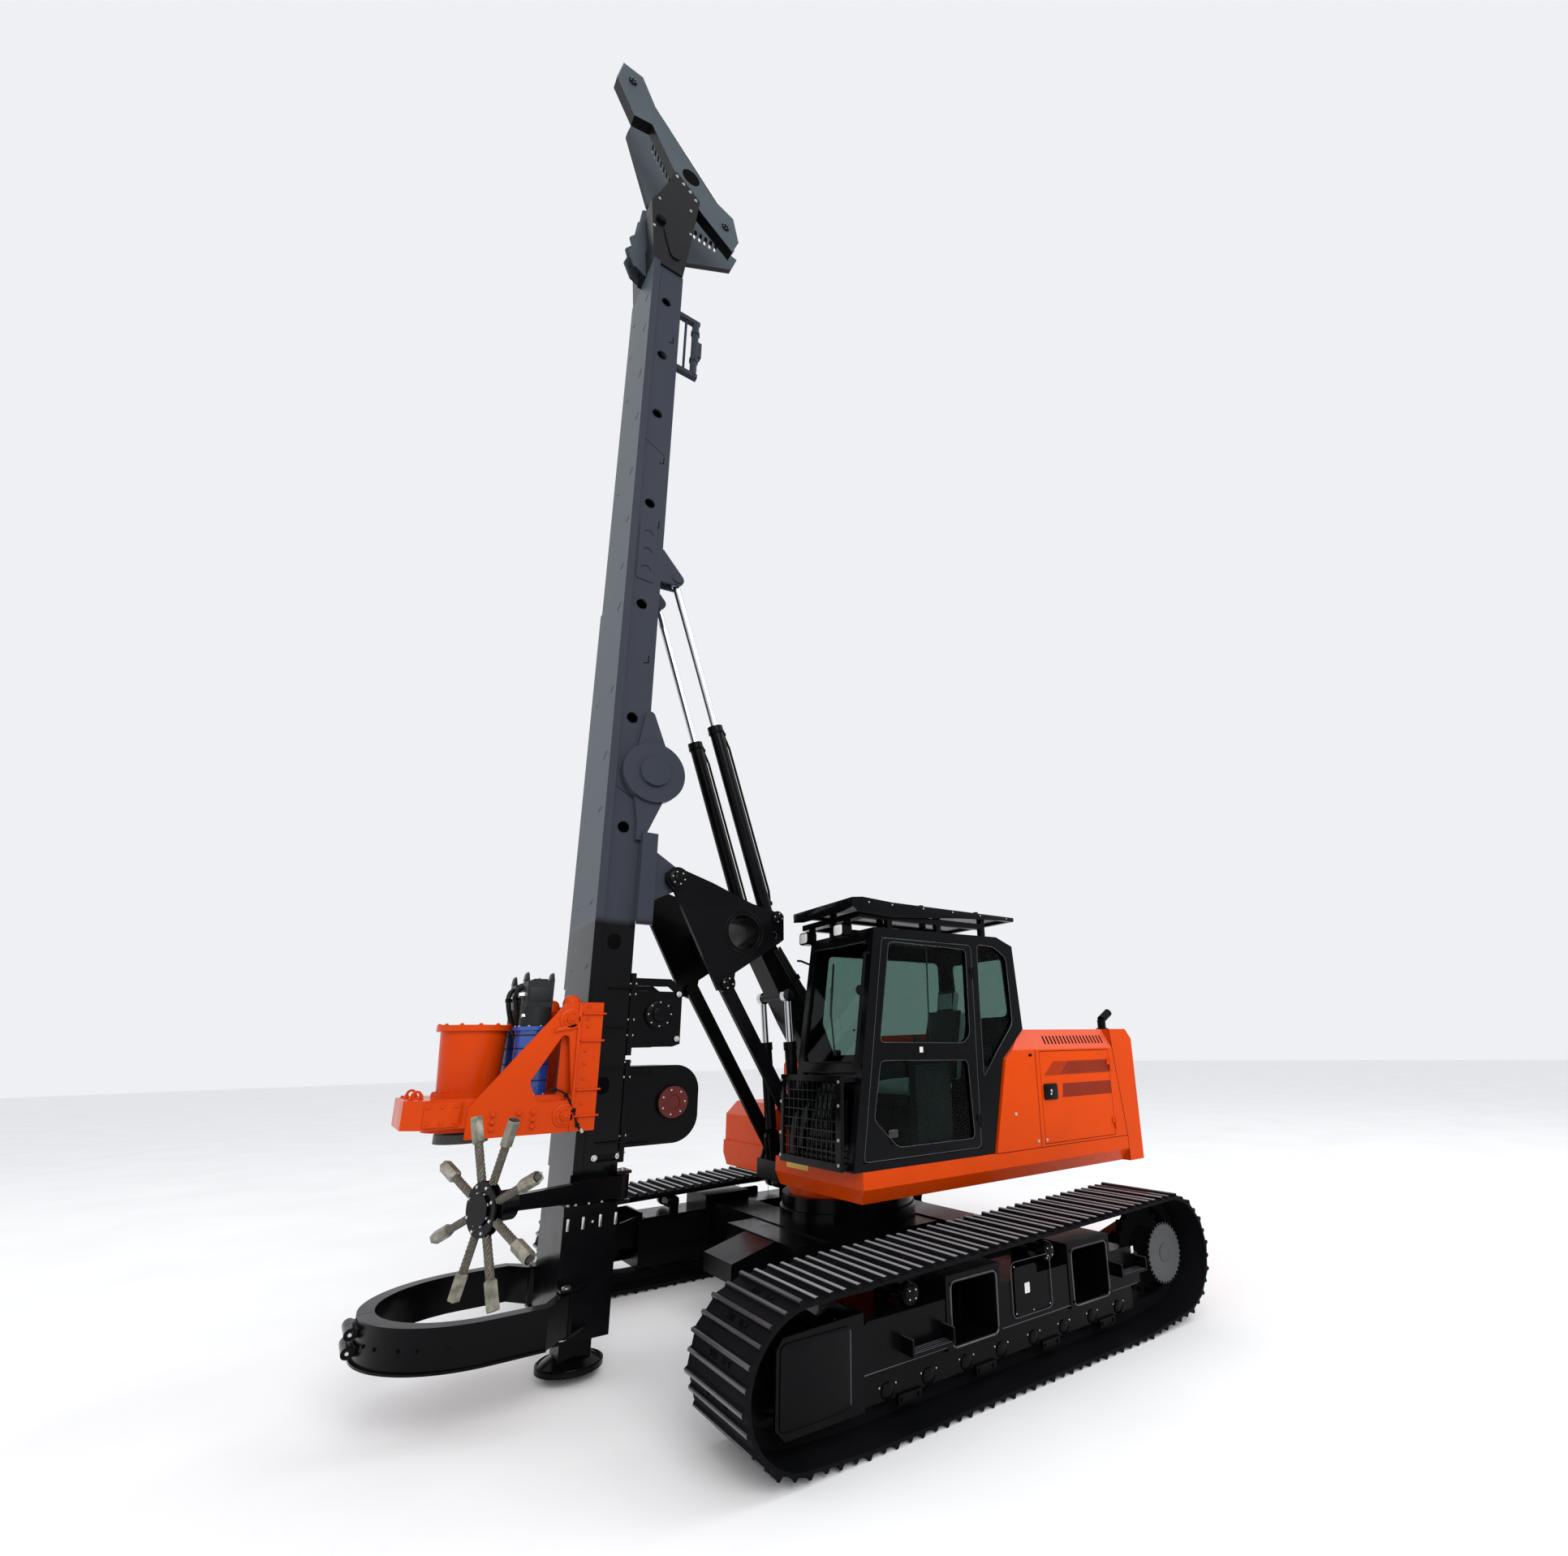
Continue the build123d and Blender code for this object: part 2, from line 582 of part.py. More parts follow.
def window_through_front(low, high):
    """A cutter with rounded corners for a pane in the cab's front."""
    width = cab_left_y - cab_right_y - 2 * post_width
    pane = RectangleRounded(width, high - low, 60)
    return extrude(Plane.YZ.offset(450) * Pos((cab_left_y + cab_right_y) / 2, (low + high) / 2) * pane,
                   amount=600)


def cab_window_cuts():
    """Cutters for the panes of the fixed cab, by name."""
    outer, inner = cab_left_y + 5, cab_left_y - cab_wall - 5
    right = rounded([(-650, 2110), (-860, 2400), (-850, 2980), (500, 2980), (600, 2110)], 50)
    rear = RectangleRounded(cab_left_y - cab_right_y - 240, 540, 60)
    return {
        "quarter": side_face(quarter_window(), inner, outer),
        "right": side_face(right, cab_right_y - 5, cab_right_y + cab_wall + 5),
        "windscreen": window_through_front(2060, 3010),
        "lower": window_through_front(1380, 1980),
        "rear": extrude(Plane.YZ.offset(-1100) * Pos((cab_left_y + cab_right_y) / 2, 2690) * rear,
                        amount=200),
    }


def cab_shell():
    body = side_face(cab_face(0), cab_right_y, cab_left_y)
    body -= side_face(cab_face(cab_wall), cab_right_y + cab_wall, cab_left_y - cab_wall)
    body -= side_plate(door_points(0), cab_left_y - cab_wall - 5, cab_left_y + 5)
    for cutter in cab_window_cuts().values():
        body -= cutter
    for z in (1560, 2780):
        body += rod_z(cab_door_rear_x + 3, cab_left_y + 12, z - 50, z - slide_gap, 10)
        body += box(cab_door_rear_x - 40, cab_door_rear_x + 3, cab_left_y, cab_left_y + 12, z - 50,
                    z - slide_gap)
    return body


def cab_glass():
    face = cab_face(glass_inset) - cab_face(glass_inset + glass_thick)
    skin = side_face(face, cab_right_y, cab_left_y)
    cuts = cab_window_cuts()
    panes = [skin & cuts[name] for name in ("windscreen", "lower", "rear")]
    panes.append(side_face(quarter_window(), cab_left_y - glass_inset - glass_thick,
                           cab_left_y - glass_inset))
    right = cuts["right"] & box(-1100, 1000, cab_right_y + glass_inset,
                                cab_right_y + glass_inset + glass_thick, 2000, 3100)
    return panes + [right]


def cab_door():
    body = side_plate(door_points(swing_gap), cab_left_y - cab_wall, cab_left_y)
    for pane in door_windows():
        body -= side_face(pane, cab_left_y - cab_wall - 5, cab_left_y + 5)
    for z in cab_hinge_zs:
        body += rod_z(cab_door_rear_x + 3, cab_left_y + 12, z, z + 50, 10)
        body += box(cab_door_rear_x + 3, cab_door_rear_x + 40, cab_left_y - 2, cab_left_y + 12, z, z + 50)
    recess = side_face(Pos(495, 1530) * RectangleRounded(120, 150, 25), cab_left_y - 25, cab_left_y + 5)
    return body - recess


def door_glass():
    outer = cab_left_y - glass_inset
    return [side_face(pane, outer - glass_thick, outer) for pane in door_windows()]


def roof_guard():
    """A roof plate on a frame of bars, with two work lamps under its front edge."""
    y0, y1 = carrier_y1 + 34, cab_left_y - 10
    low = guard_roof_z - 10
    top = side_plate([(-1000, low), (-1000, guard_roof_z + 28), (451, guard_roof_z + 34),
                      (760, guard_roof_z + 52),
                      (864, guard_roof_z + 40), (864, low + 10), (700, low + 12)], y0, y1)
    top -= side_plate([(-960, low - 60), (-960, guard_roof_z + 10), (700, guard_roof_z + 22),
                       (700, low - 60)],
                      y0 + 40, y1 - 40)
    bar_low = cab_roof_z + 80
    for y in (y0 + 20, y1 - 80):
        top += box(-640, 720, y, y + 50, bar_low, bar_low + 50)
        for x in (-640, -100, 440):
            top += box(x, x + 50, y, y + 50, cab_roof_z, low + 30)
    top += box(700, 780, y0 + 20, y1 - 30, bar_low, bar_low + 50)
    for y in (y0 + 170, y1 - 220):
        top += box(745, 790, y - 20, y + 20, bar_low - 70, bar_low + 10)
        top += extrude(Plane.YZ.offset(770) * Pos(y, bar_low - 90) * RectangleRounded(150, 110, 30),
                       amount=75)
    for x in (-560, 100, 620):
        top += rod_z(x, y1 - 55, guard_roof_z + 20, guard_roof_z + 50, 22)
    return top - side_face(cab_face(0), cab_right_y, cab_left_y)


def front_guard():
    """The mesh guard before the lower windscreen, on four stays, with a grab bar up the post."""
    y0, y1, z0, z1 = cab_right_y + 10, cab_left_y - 50, 1300, 1970
    x0, x1 = guard_front_x, guard_front_x + 30
    frame = box(x0, x1, y0, y1, z0, z1) - box(x0 - 5, x1 + 5, y0 + 45, y1 - 70, z0 + 55, z1 - 45)
    for index in range(10):
        y = y0 + 45 + (index + 1) * (y1 - y0 - 115) / 11
        frame += box(x0 + 8, x0 + 16, y - 4, y + 4, z0 + 50, z1 - 40)
    for index in range(7):
        z = z0 + 55 + (index + 1) * (z1 - z0 - 100) / 8
        frame += box(x0 + 14, x0 + 22, y0 + 40, y1 - 65, z - 4, z + 4)
    for y in (y0, y1 - 60):
        for z in (z0 + 20, z1 - 50):
            frame += box(780, x0 + 5, y, y + 60, z, z + 30)
    grab_y = cab_left_y - 25
    low, high = 2040, 2900
    for z in (low, high):
        frame += box(front_x(z) - 20, front_x(z) + 55, grab_y - 10, grab_y + 10, z - 10, z + 10)
    bar = Plane(origin=(front_x(low) + 50, grab_y, low), z_dir=(front_x(high) - front_x(low), 0, high - low))
    frame += extrude(bar * Circle(12), amount=math.hypot(front_x(high) - front_x(low), high - low))
    return frame - side_face(cab_face(0), cab_right_y, cab_left_y)


def seat():
    y = cab_mid_y
    cushion = box(-330, 190, y - 240, y + 260, 1780, 1900)
    back = side_plate([(-380, 1880), (-250, 1880), (-370, 2480), (-500, 2480)], y - 220, y + 240)
    rest = side_plate([(-385, 2480), (-495, 2480), (-520, 2660), (-430, 2660)], y - 110, y + 130)
    base = box(-250, 110, y - 180, y + 200, cab_floor_z + cab_wall, 1780)
    return cushion + back + rest + base


def console():
    floor_z, top = cab_floor_z + cab_wall, 2020
    body = box(-200, 180, cab_right_y + 110, cab_right_y + 230, floor_z, top)
    body += box(-200, 180, cab_left_y - 200, cab_left_y - 110, floor_z, top)
    for y in (cab_right_y + 170, cab_left_y - 155):
        body += rod_z(120, y, top, top + 160, 18)
    return list(body.solids())


def pedals():
    floor_z = cab_floor_z + cab_wall
    parts = []
    for y in (cab_mid_y - 70, cab_mid_y + 60):
        parts.append(box(480, 640, y - 50, y + 50, floor_z, floor_z + 40) + box(560, 580, y - 8, y + 8,
                floor_z, floor_z + 420))
    return parts


# Boom, links and carrier

def boom():
    body = boom_outline()
    body -= rod_y(boom_foot[0], boom_foot[1], -boom_half, boom_half, pin_r + slide_gap)
    body += rod_y(boom_head[0], boom_head[1], -carrier_y0, carrier_y0, pin_r)
    stub_end = luff_y - luff_rod_r - 2 - swing_gap
    return body + rod_y(luff_eye[0], luff_eye[1], -stub_end, stub_end, pin_r + 12)


def boom_outline():
    return hull([(boom_foot[0], boom_foot[1], 88), (boom_knee[0], boom_knee[1], 150),
                 (boom_head[0], boom_head[1], 78)],
                -boom_half, boom_half)


def hose(points):
    route = FilletPolyline(*points, radius=300)
    return sweep(Plane(origin=route @ 0, z_dir=route % 0) * Circle(hose_r), path=route)


def hose_clamp(p, q, share, y0, y1, half):
    """A block round the hoses at a share of the run from p to q in side view."""
    x, z = p[0] + (q[0] - p[0]) * share, p[1] + (q[1] - p[1]) * share
    middle = Plane(origin=(x, (y0 + y1) / 2, z), x_dir=(0, 1, 0), z_dir=(q[0] - p[0], 0, q[1] - p[1]))
    return extrude(middle * Rectangle(y1 - y0, 2 * half), amount=45)


def boom_hoses():
    """Hoses clamped along the boom's upper face and along its cab side."""
    bundles = []
    foot, knee, head = top_hose_route
    reach = (top_hose_count - 1) * hose_pitch / 2
    top = None
    for index in range(top_hose_count):
        y = index * hose_pitch - reach
        run = hose([(x, y, z) for x, z in top_hose_route])
        top = run if top is None else top + run
    for p, q, share in ((foot, knee, 0.35), (knee, head, 0.5)):
        top += hose_clamp(p, q, share, -reach - 26, reach + 26, hose_r + 14)
    bundles.append(top - boom_outline())
    beside = None
    for index in range(side_hose_count):
        run = hose([(x + index * hose_pitch * 0.9, boom_half + hose_r + 3, z - index * hose_pitch * 0.5)
                    for x, z in side_hose_route])
        beside = run if beside is None else beside + run
    foot, knee, head = [(x + hose_pitch * 0.9, z - hose_pitch * 0.5) for x, z in side_hose_route]
    for p, q, share in ((foot, knee, 0.35), (knee, head, 0.5)):
        beside += hose_clamp(p, q, share, boom_half, boom_half + 2 * hose_r + 6, hose_pitch + 26)
    return bundles + [beside]


def support_link(left):
    body = hull([(link_foot[0], link_foot[1], 58), (link_head[0], link_head[1], 58)], link_y0, link_y1)
    for point in (link_foot, link_head):
        body -= rod_y(point[0], point[1], link_y0, link_y1, pin_r + slide_gap)
    return side(body, left)


def mast_carrier():
    outline = [(2045, 3590), (1950, 3642), (1871, 3622), (1638, 3550), (1259, 3406), (1050, 3360), (945,
            3330),
               (940, 3110), (985, 3075), (1400, 2800), (1420, 2650), (1550, 2650)]
    plate = side_plate(outline, carrier_y0, carrier_y1)
    plate += rod_y(mast_pivot[0], mast_pivot[1], carrier_y0, carrier_y1 + 12, 95)
    plate += rod_y(link_head[0], link_head[1], carrier_y0, carrier_y1, 75)
    plate += rod_y(tilt_base[0], tilt_base[1], carrier_y0, carrier_y1 + 8, 62)
    body = plate + mirror(plate, about=Plane.XZ)
    body += rod_y(cross_tube[0], cross_tube[1], -carrier_y1, carrier_y1, cross_tube_r)
    body -= rod_y(cross_tube[0], cross_tube[1], -carrier_y1 - 5, carrier_y1 + 5, cross_hole_r)
    body -= rod_y(boom_head[0], boom_head[1], -carrier_y1 - 20, carrier_y1 + 20, pin_r + slide_gap)
    for sign in (-1, 1):
        y0, y1 = sorted((sign * (link_y0 - 6), sign * (carrier_y1 + 15)))
        body += rod_y(link_head[0], link_head[1], y0, y1, pin_r)
        y0, y1 = sorted((sign * (tilt_y - 40), sign * (carrier_y1 + 15)))
        body += rod_y(tilt_base[0], tilt_base[1], y0, y1, pin_r)
        y0, y1 = sorted((sign * 230, sign * (carrier_y1 + 20)))
        body += rod_y(mast_pivot[0], mast_pivot[1], y0, y1, pin_r)
    return body


def cylinder_barrel(base, eye, y, r, rod_r, length):
    """A cylinder's barrel with its base eye and gland, bored for its rod."""
    barrel = tube_between(base, eye, y, r, 60, length - 60)
    barrel += tube_between(base, eye, y, r + 8, length - 70, 70)
    barrel += rod_y(base[0], base[1], y - base_eye_half, y + base_eye_half, 62)
    barrel -= tube_between(base, eye, y, rod_r + slide_gap, 150, length)
    return barrel - rod_y(base[0], base[1], y - 2 * base_eye_half, y + 2 * base_eye_half, pin_r + slide_gap)


def cylinder_rod(base, eye, y, rod_r, start):
    """The rod and its solid eye: the eye's pin is left out between the lugs, where it is open."""
    reach = math.hypot(eye[0] - base[0], eye[1] - base[1])
    rod = tube_between(base, eye, y, rod_r, start, reach - start - 40)
    return rod + rod_y(eye[0], eye[1], y - rod_r - 2, y + rod_r + 2, 56)


# Mast

def mast():
    body = box(mast_rear_x, mast_front_x, -mast_half, mast_half, foot_top, mast_top)
    body -= box(mast_rear_x + mast_wall, mast_front_x - mast_wall, -mast_half + mast_wall,
                mast_half - mast_wall,
                foot_top + 40, mast_top - 40)
    for z in mast_hole_zs:
        body -= rod_y(mast_hole_x, z, -mast_half - 5, mast_half + 5, mast_hole_r)
    rail = box(rail_x0, mast_front_x, mast_half - 10, rail_y1, foot_top + 200, mast_top)
    lug = hull([(mast_pivot[0], mast_pivot[1], 88), (mast_rear_x - 20, 3330, 20),
                (mast_rear_x - 20, 3800, 20)], 250, 350)
    lug -= rod_y(mast_pivot[0], mast_pivot[1], 245, 355, pin_r + slide_gap)
    lug += box(mast_rear_x - 40, mast_rear_x, 250, 350, 3330, 3800)
    lug -= box(mast_rear_x, mast_front_x, mast_half, 360, 3000, 4000)
    for shape in both_sides(rail) + both_sides(lug) + both_sides(tilt_ears()) + both_sides(eye_doubler()):
        body += shape
    return body + hose_tray()


def tilt_ears():
    """The two lugs on the mast that hold one tilt cylinder's rod eye."""
    clear = tilt_rod_r + 2 + swing_gap
    ears = rod_y(tilt_eye[0], tilt_eye[1], tilt_y + clear + 26, tilt_y + clear + 40, pin_r + 12)
    for y in (tilt_y - clear - 26, tilt_y + clear):
        ear = hull([(tilt_eye[0], tilt_eye[1], 62), (mast_rear_x, tilt_eye[1] + 240, 20),
                    (mast_rear_x, tilt_eye[1] - 60, 20)],
                   y, y + 26)
        ear -= box(mast_rear_x, mast_front_x, 0, 400, tilt_eye[1] - 500, tilt_eye[1] + 500)
        ears += ear + rod_y(tilt_eye[0], tilt_eye[1], y, y + 26, pin_r + 12)
    return ears


def eye_doubler():
    """A plate welded to the mast's side near the cylinder eye, with three half-moon openings."""
    x, z = mast_hole_x - 10, tilt_eye[1] + 160
    plate = side_face(Pos(x, z) * RectangleRounded(170, 600, 25), mast_half, mast_half + 8)
    for step in (-190, 0, 190):
        moon = rod_y(x, z + step, mast_half, mast_half + 8, 48)
        plate -= moon - rod_y(x, z + step - 26, mast_half, mast_half + 8, 48)
    return plate


def hose_tray():
    """The trough on the mast's far side that the drive's hoses lie in, up to half the travel."""
    y0, y1 = -tray_y - 45, -tray_y + 45
    tray = box(tray_x0, tray_x1, y0, y1, tray_low, tray_high)
    tray -= box(tray_x0 + 8, tray_x1 - 8, y0 + 8, y1 + 1, tray_low - 1, tray_high + 1)
    for z in tray_bracket_zs:
        tray += box(tray_x0 - 50, tray_x0, y1 - 20, -mast_half, z, z + 24)
        tray += box(tray_x0 - 50, tray_x0 + 4, y0, y1, z, z + 24)
    return tray


def sheave_housings():
    disc = rod_y(sheave_box_x, sheave_box_z, mast_half, mast_half + 70, sheave_box_r)
    disc += rod_y(sheave_box_x, sheave_box_z, mast_half + 70, mast_half + 100, 125)
    disc += hull([(sheave_box_x + 60, sheave_box_z + 520, 40), (sheave_box_x, sheave_box_z, 180),
                  (sheave_box_x + 60, sheave_box_z - 520, 40)],
                 mast_half, mast_half + 40)
    cover_top = sheave_box_z - 540
    disc += box(mast_rear_x - 110, mast_rear_x + 15, mast_half + 52, mast_half + 84, cover_top - 760,
                cover_top)
    disc += box(mast_rear_x, mast_rear_x + 15, mast_half, mast_half + 60, cover_top - 730, cover_top - 30)
    disc += box(mast_rear_x, mast_rear_x + 60, mast_half, mast_half + 40, cover_top - 60, cover_top + 60)
    return both_sides(disc)


def mast_foot():
    body = box(foot_rear_x, foot_front_x, -foot_half, foot_half, foot_bottom, foot_top)
    body -= box(foot_rear_x + foot_wall, foot_front_x - foot_wall, -foot_half + foot_wall,
                foot_half - foot_wall,
                foot_bottom + foot_wall, foot_top - 40)
    hole = jack_half + slide_gap
    body -= box(jack_x - hole, jack_x + hole, -hole, hole, foot_bottom - 5, foot_bottom + foot_wall + 5)
    flange = box(foot_rear_x - 30, foot_front_x + 10, -foot_half - 30, foot_half + 30, foot_top - 30,
                 foot_top)
    flange -= box(foot_rear_x + foot_wall, foot_front_x - foot_wall, -foot_half + foot_wall,
                  foot_half - foot_wall,
                  foot_bottom, foot_top - 40)
    body += flange
    for z0, z1 in ((guide_low - 25, guide_low - 6), (guide_high + 6, guide_high + 25)):
        lug = extrude(Pos(0, 0, z0) * make_face(Polyline(
            (foot_front_x - 230, foot_half - 5), (foot_front_x - 60, guide_pin[1] + 40), (guide_pin[0] + 45,
                    guide_pin[1] + 40),
            (guide_pin[0] + 45, foot_half - 5), close=True)), amount=z1 - z0)
        for shape in both_sides(lug):
            body += shape
    for shape in both_sides(rod_z(guide_pin[0], guide_pin[1], guide_low - 25, guide_high + 25, 22)):
        body += shape
    ear_x0, ear_x1 = cleaner_pin[0] - 50, cleaner_pin[0] + 50
    ear = box(ear_x0, ear_x1, foot_half - 5, cleaner_pin[1] + 50, foot_top, foot_top + 20)
    ear += box(ear_x0, ear_x1, foot_half - 5, foot_half + 25, foot_top, cleaner_high + 26)
    ear += box(ear_x0, ear_x1, foot_half - 5, cleaner_pin[1] + 50, cleaner_high + 6, cleaner_high + 26)
    ear += rod_z(cleaner_pin[0], cleaner_pin[1], foot_top, cleaner_high + 26, 22)
    return body + ear


def foot_jack():
    low = jack_rest_z
    post = box(jack_x - jack_half, jack_x + jack_half, -jack_half, jack_half, low + jack_plate, jack_top)
    plate = rod_z(jack_x, 0, low, low + jack_plate, jack_plate_r)
    cone = Pos(jack_x, 0, low + jack_plate + 25) * Cone(jack_plate_r - 20, jack_half + 10, 50)
    return post + plate + cone


def winches():
    """Two winches behind the mast: an open frame above, a closed housing below."""
    parts = []
    frame = [(mast_rear_x - 35, upper_low), (mast_rear_x - 35, upper_high), (1900, upper_high), (1800,
            upper_high - 70),
             (1800, upper_low + 20), (1860, upper_low)]
    upper = box(mast_rear_x - 35, mast_rear_x, -winch_half - 60, winch_half + 60, upper_low - 60,
                upper_high + 30)
    for y0, y1 in ((-winch_half, -winch_half + 35), (winch_half - 35, winch_half)):
        plate = side_plate(frame, y0, y1)
        plate -= side_plate([(mast_rear_x - 70, upper_high - 60), (1910, upper_high - 60),
                             (1860, upper_high - 100),
                             (mast_rear_x - 70, upper_high - 100)], y0 - 1, y1 + 1)
        upper += plate
    for x, z in ((1835, upper_high - 120), (1835, upper_low + 60)):
        upper += rod_y(x, z, -winch_half - 20, winch_half + 20, 22)
    upper -= rod_y(winch_axis[0], winch_axis[1], -winch_half - 10, winch_half + 10, 40 + slide_gap)
    parts.append(upper)
    lower = hull([(1817, 1870, 200), (1817, 1690, 200), (mast_rear_x - 10, 2060, 10),
                  (mast_rear_x - 10, 1500, 10)],
                 -winch_half + 10, winch_half - 10)
    lower += box(mast_rear_x - 35, mast_rear_x, -winch_half - 60, winch_half + 60, 1400, 2120)
    for z in (1500, 2030):
        lower += box(mast_rear_x - 240, mast_rear_x - 35, -winch_half - 40, winch_half + 40, z, z + 18)
    lower += rod_y(1836, 1793, winch_half - 10, winch_half + 22, 125)
    lower -= rod_y(1836, 1793, winch_half + 2, winch_half + 25, 52)
    parts.append(lower)
    return parts


def winch_drum():
    x, z = winch_axis
    inner = winch_half - 35 - seat_gap
    shaft = rod_y(x, z, -inner, inner, 110) + rod_y(x, z, -winch_half - 34, winch_half + 34, 40)
    for y in (-inner, inner - 14):
        shaft += rod_y(x, z, y, y + 14, 165)
    for y in (-winch_half - 30, winch_half + swing_gap):
        shaft += rod_y(x, z, y, y + 24, 112)
    return shaft


def hose_roller():
    """The short damper cylinder on the mast's upper rear face, with its valve."""
    bar = rod_z(1960, 0, 9230, 9960, 38)
    for z in (9200, 9940):
        bar += box(1920, mast_rear_x, -30, 30, z, z + 50)
    bar += box(1890, 1960, -32, 32, 9500, 9700)
    for z, r in ((9420, 48), (9800, 48)):
        bar += rod_z(1960, 0, z, z + 40, r)
    return bar + rod_z(2070, 0, 9240, 9950, 14)


# Sled and rotary drive

def sled():
    back_x = mast_front_x + 8
    back = box(back_x, mast_front_x + 60, -sled_plate_y, sled_plate_y, sled_low, sled_high)
    outline = [(back_x, sled_low), (3290, sled_low), (3290, 1840), (2745, sled_high - 12), (2720,
            sled_high), (back_x, sled_high)]
    y0, y1 = sled_plate_y, sled_plate_y + sled_plate
    plate = side_plate(outline, y0, y1)
    plate -= hull([(2728, 2270, 30), (2700, 1905, 45), (2850, 1895, 40), (2890, 1985, 40)], y0 - 5, y1 + 5)
    for x, z in ((2700, 2410), (2690, 1760)):
        plate += rod_y(x, z, y1, y1 + 16, 58) + rod_y(x, z, y1 + 16, y1 + 30, 32)
    guide = box(rail_x0 - 26, mast_front_x + 60, rail_y1 + swing_gap, y1, sled_low, sled_high)
    guide += box(rail_x0 - 26, rail_x0 - swing_gap, mast_half + 12, rail_y1 + 20, sled_low, sled_high)
    fin_x = sheave_box_x + sheave_box_r + swing_gap
    for z in (1745, 1920, 2255, 2445):
        guide += box(fin_x, mast_front_x + 60, rail_y1 + swing_gap + 20, y1 + 18, z, z + 12)
    pad = box(mast_front_x + slide_gap, mast_front_x + 10, 120, 260, sled_low + 60, sled_high - 60)
    body = back
    for shape in both_sides(plate) + both_sides(guide) + both_sides(pad):
        body += shape
    return body


def rotary_drive():
    """The gear case that turns the spindle, with side plates and a lifting eye."""
    y = sled_plate_y
    plan = [(mast_front_x + 60, -y), (3290, -y), (3320, -y + 25), (3540, -y + 25), (drive_front_x, -290),
            (drive_front_x, 290), (3540, y - 25), (3320, y - 25), (3290, y), (mast_front_x + 60, y)]
    base = extrude(Pos(0, 0, drive_low) * make_face(Polyline(*plan, close=True)),
                   amount=drive_high - drive_low)
    base += rod_z(spindle_x, 0, drive_low - 40, drive_low, 250)
    for plate in both_sides(side_face(Pos(3430, (drive_low + drive_high) / 2) * RectangleRounded(200, 150,
            12), y - 25, y - 10)):
        base += plate
    eye = hull([(3560, drive_high + 25, 32), (3560, drive_high - 10, 45)], 150, 175)
    for shape in both_sides(eye - rod_y(3560, drive_high + 25, 140, 185, 16)):
        base += shape
    return base - rod_z(spindle_x, 0, drive_low - 60, drive_high + 60, spindle_r + slide_gap)


def hull_plan(circles, z0, z1):
    """The taut outline round circles of (x, y, r) in plan, from z0 to z1."""
    return extrude(Pos(0, 0, z0) * make_hull([CenterArc((x, y), r, 0, 360) for x, y, r in circles]),
                   amount=z1 - z0)


def drum():
    wall = 22
    outer = Pos(spindle_x, 0, (drive_high + drum_high) / 2) * Cone(drum_low_r, drum_high_r,
            drum_high - drive_high)
    outer += rod_z(spindle_x, 0, drum_high - 40, drum_high, drum_high_r + 25)
    outer += rod_z(spindle_x, 0, drive_high, drive_high + 30, drum_low_r + 30)
    return outer - rod_z(spindle_x, 0, drive_high, drum_high, drum_low_r - wall)


def spindle():
    tube = rod_z(spindle_x, 0, spindle_low, drum_high - 30, spindle_r)
    tube += rod_z(spindle_x, 0, spindle_low, spindle_low + 60, spindle_r + 60)
    return tube - rod_z(spindle_x, 0, spindle_low, drum_high - 30, 60)


def gearboxes():
    parts = []
    for sign in (-1, 1):
        y = sign * 210
        box_part = rod_z(2890, y, drive_high, 2340, 120) + rod_z(2890, y, 2340, 2365, 140)
        parts.append(box_part)
    return parts


def motors():
    parts = []
    for sign in (-1, 1):
        y = sign * 210
        motor = rod_z(2890, y, 2365, 2500, 105) + box(2800, 2980, y - 85, y + 85, 2500, 2690)
        parts.append(motor)
    return parts


# Auger guide and cleaner

def guide_half(left):
    straight_x = 2720
    ring = hull_plan([(guide_x, 0, guide_r), (straight_x, 0, guide_r)], guide_low, guide_high)
    ring += hull_plan([(guide_x, 0, guide_r + 16), (straight_x, 0, guide_r + 16)], guide_low, guide_low + 14)
    ring -= hull_plan([(guide_x, 0, guide_r - guide_wall), (straight_x, 0, guide_r - guide_wall)],
                      guide_low - 5, guide_high + 5)
    half = ring & box(straight_x, guide_x + guide_r + 20, swing_gap / 2, guide_r + 20, guide_low, guide_high)
    arm = extrude(Pos(0, 0, guide_low) * make_face(Polyline(
        (straight_x, guide_r), (straight_x, guide_r - guide_wall), (guide_pin[0] + 20, guide_pin[1] - 55),
        (guide_pin[0] - 10, guide_pin[1] + 55), close=True)), amount=guide_high - guide_low)
    half += arm + rod_z(guide_pin[0], guide_pin[1], guide_low, guide_high, 52)
    half -= rod_z(guide_pin[0], guide_pin[1], guide_low - 5, guide_high + 5, 22 + slide_gap)
    tip, knuckle_r = guide_x + guide_r, 34
    for z in (guide_low + 70, guide_high - 72):
        half += box(tip - guide_wall, tip + latch_length - knuckle_r, swing_gap / 2, 120, z - 24, z + 24)
        half += rod_y(tip + latch_length - knuckle_r, z, swing_gap / 2, 120, knuckle_r)
        half -= rod_y(tip + latch_length - knuckle_r, z, 0, 125, knuckle_r - 14)
    return side(half, left)


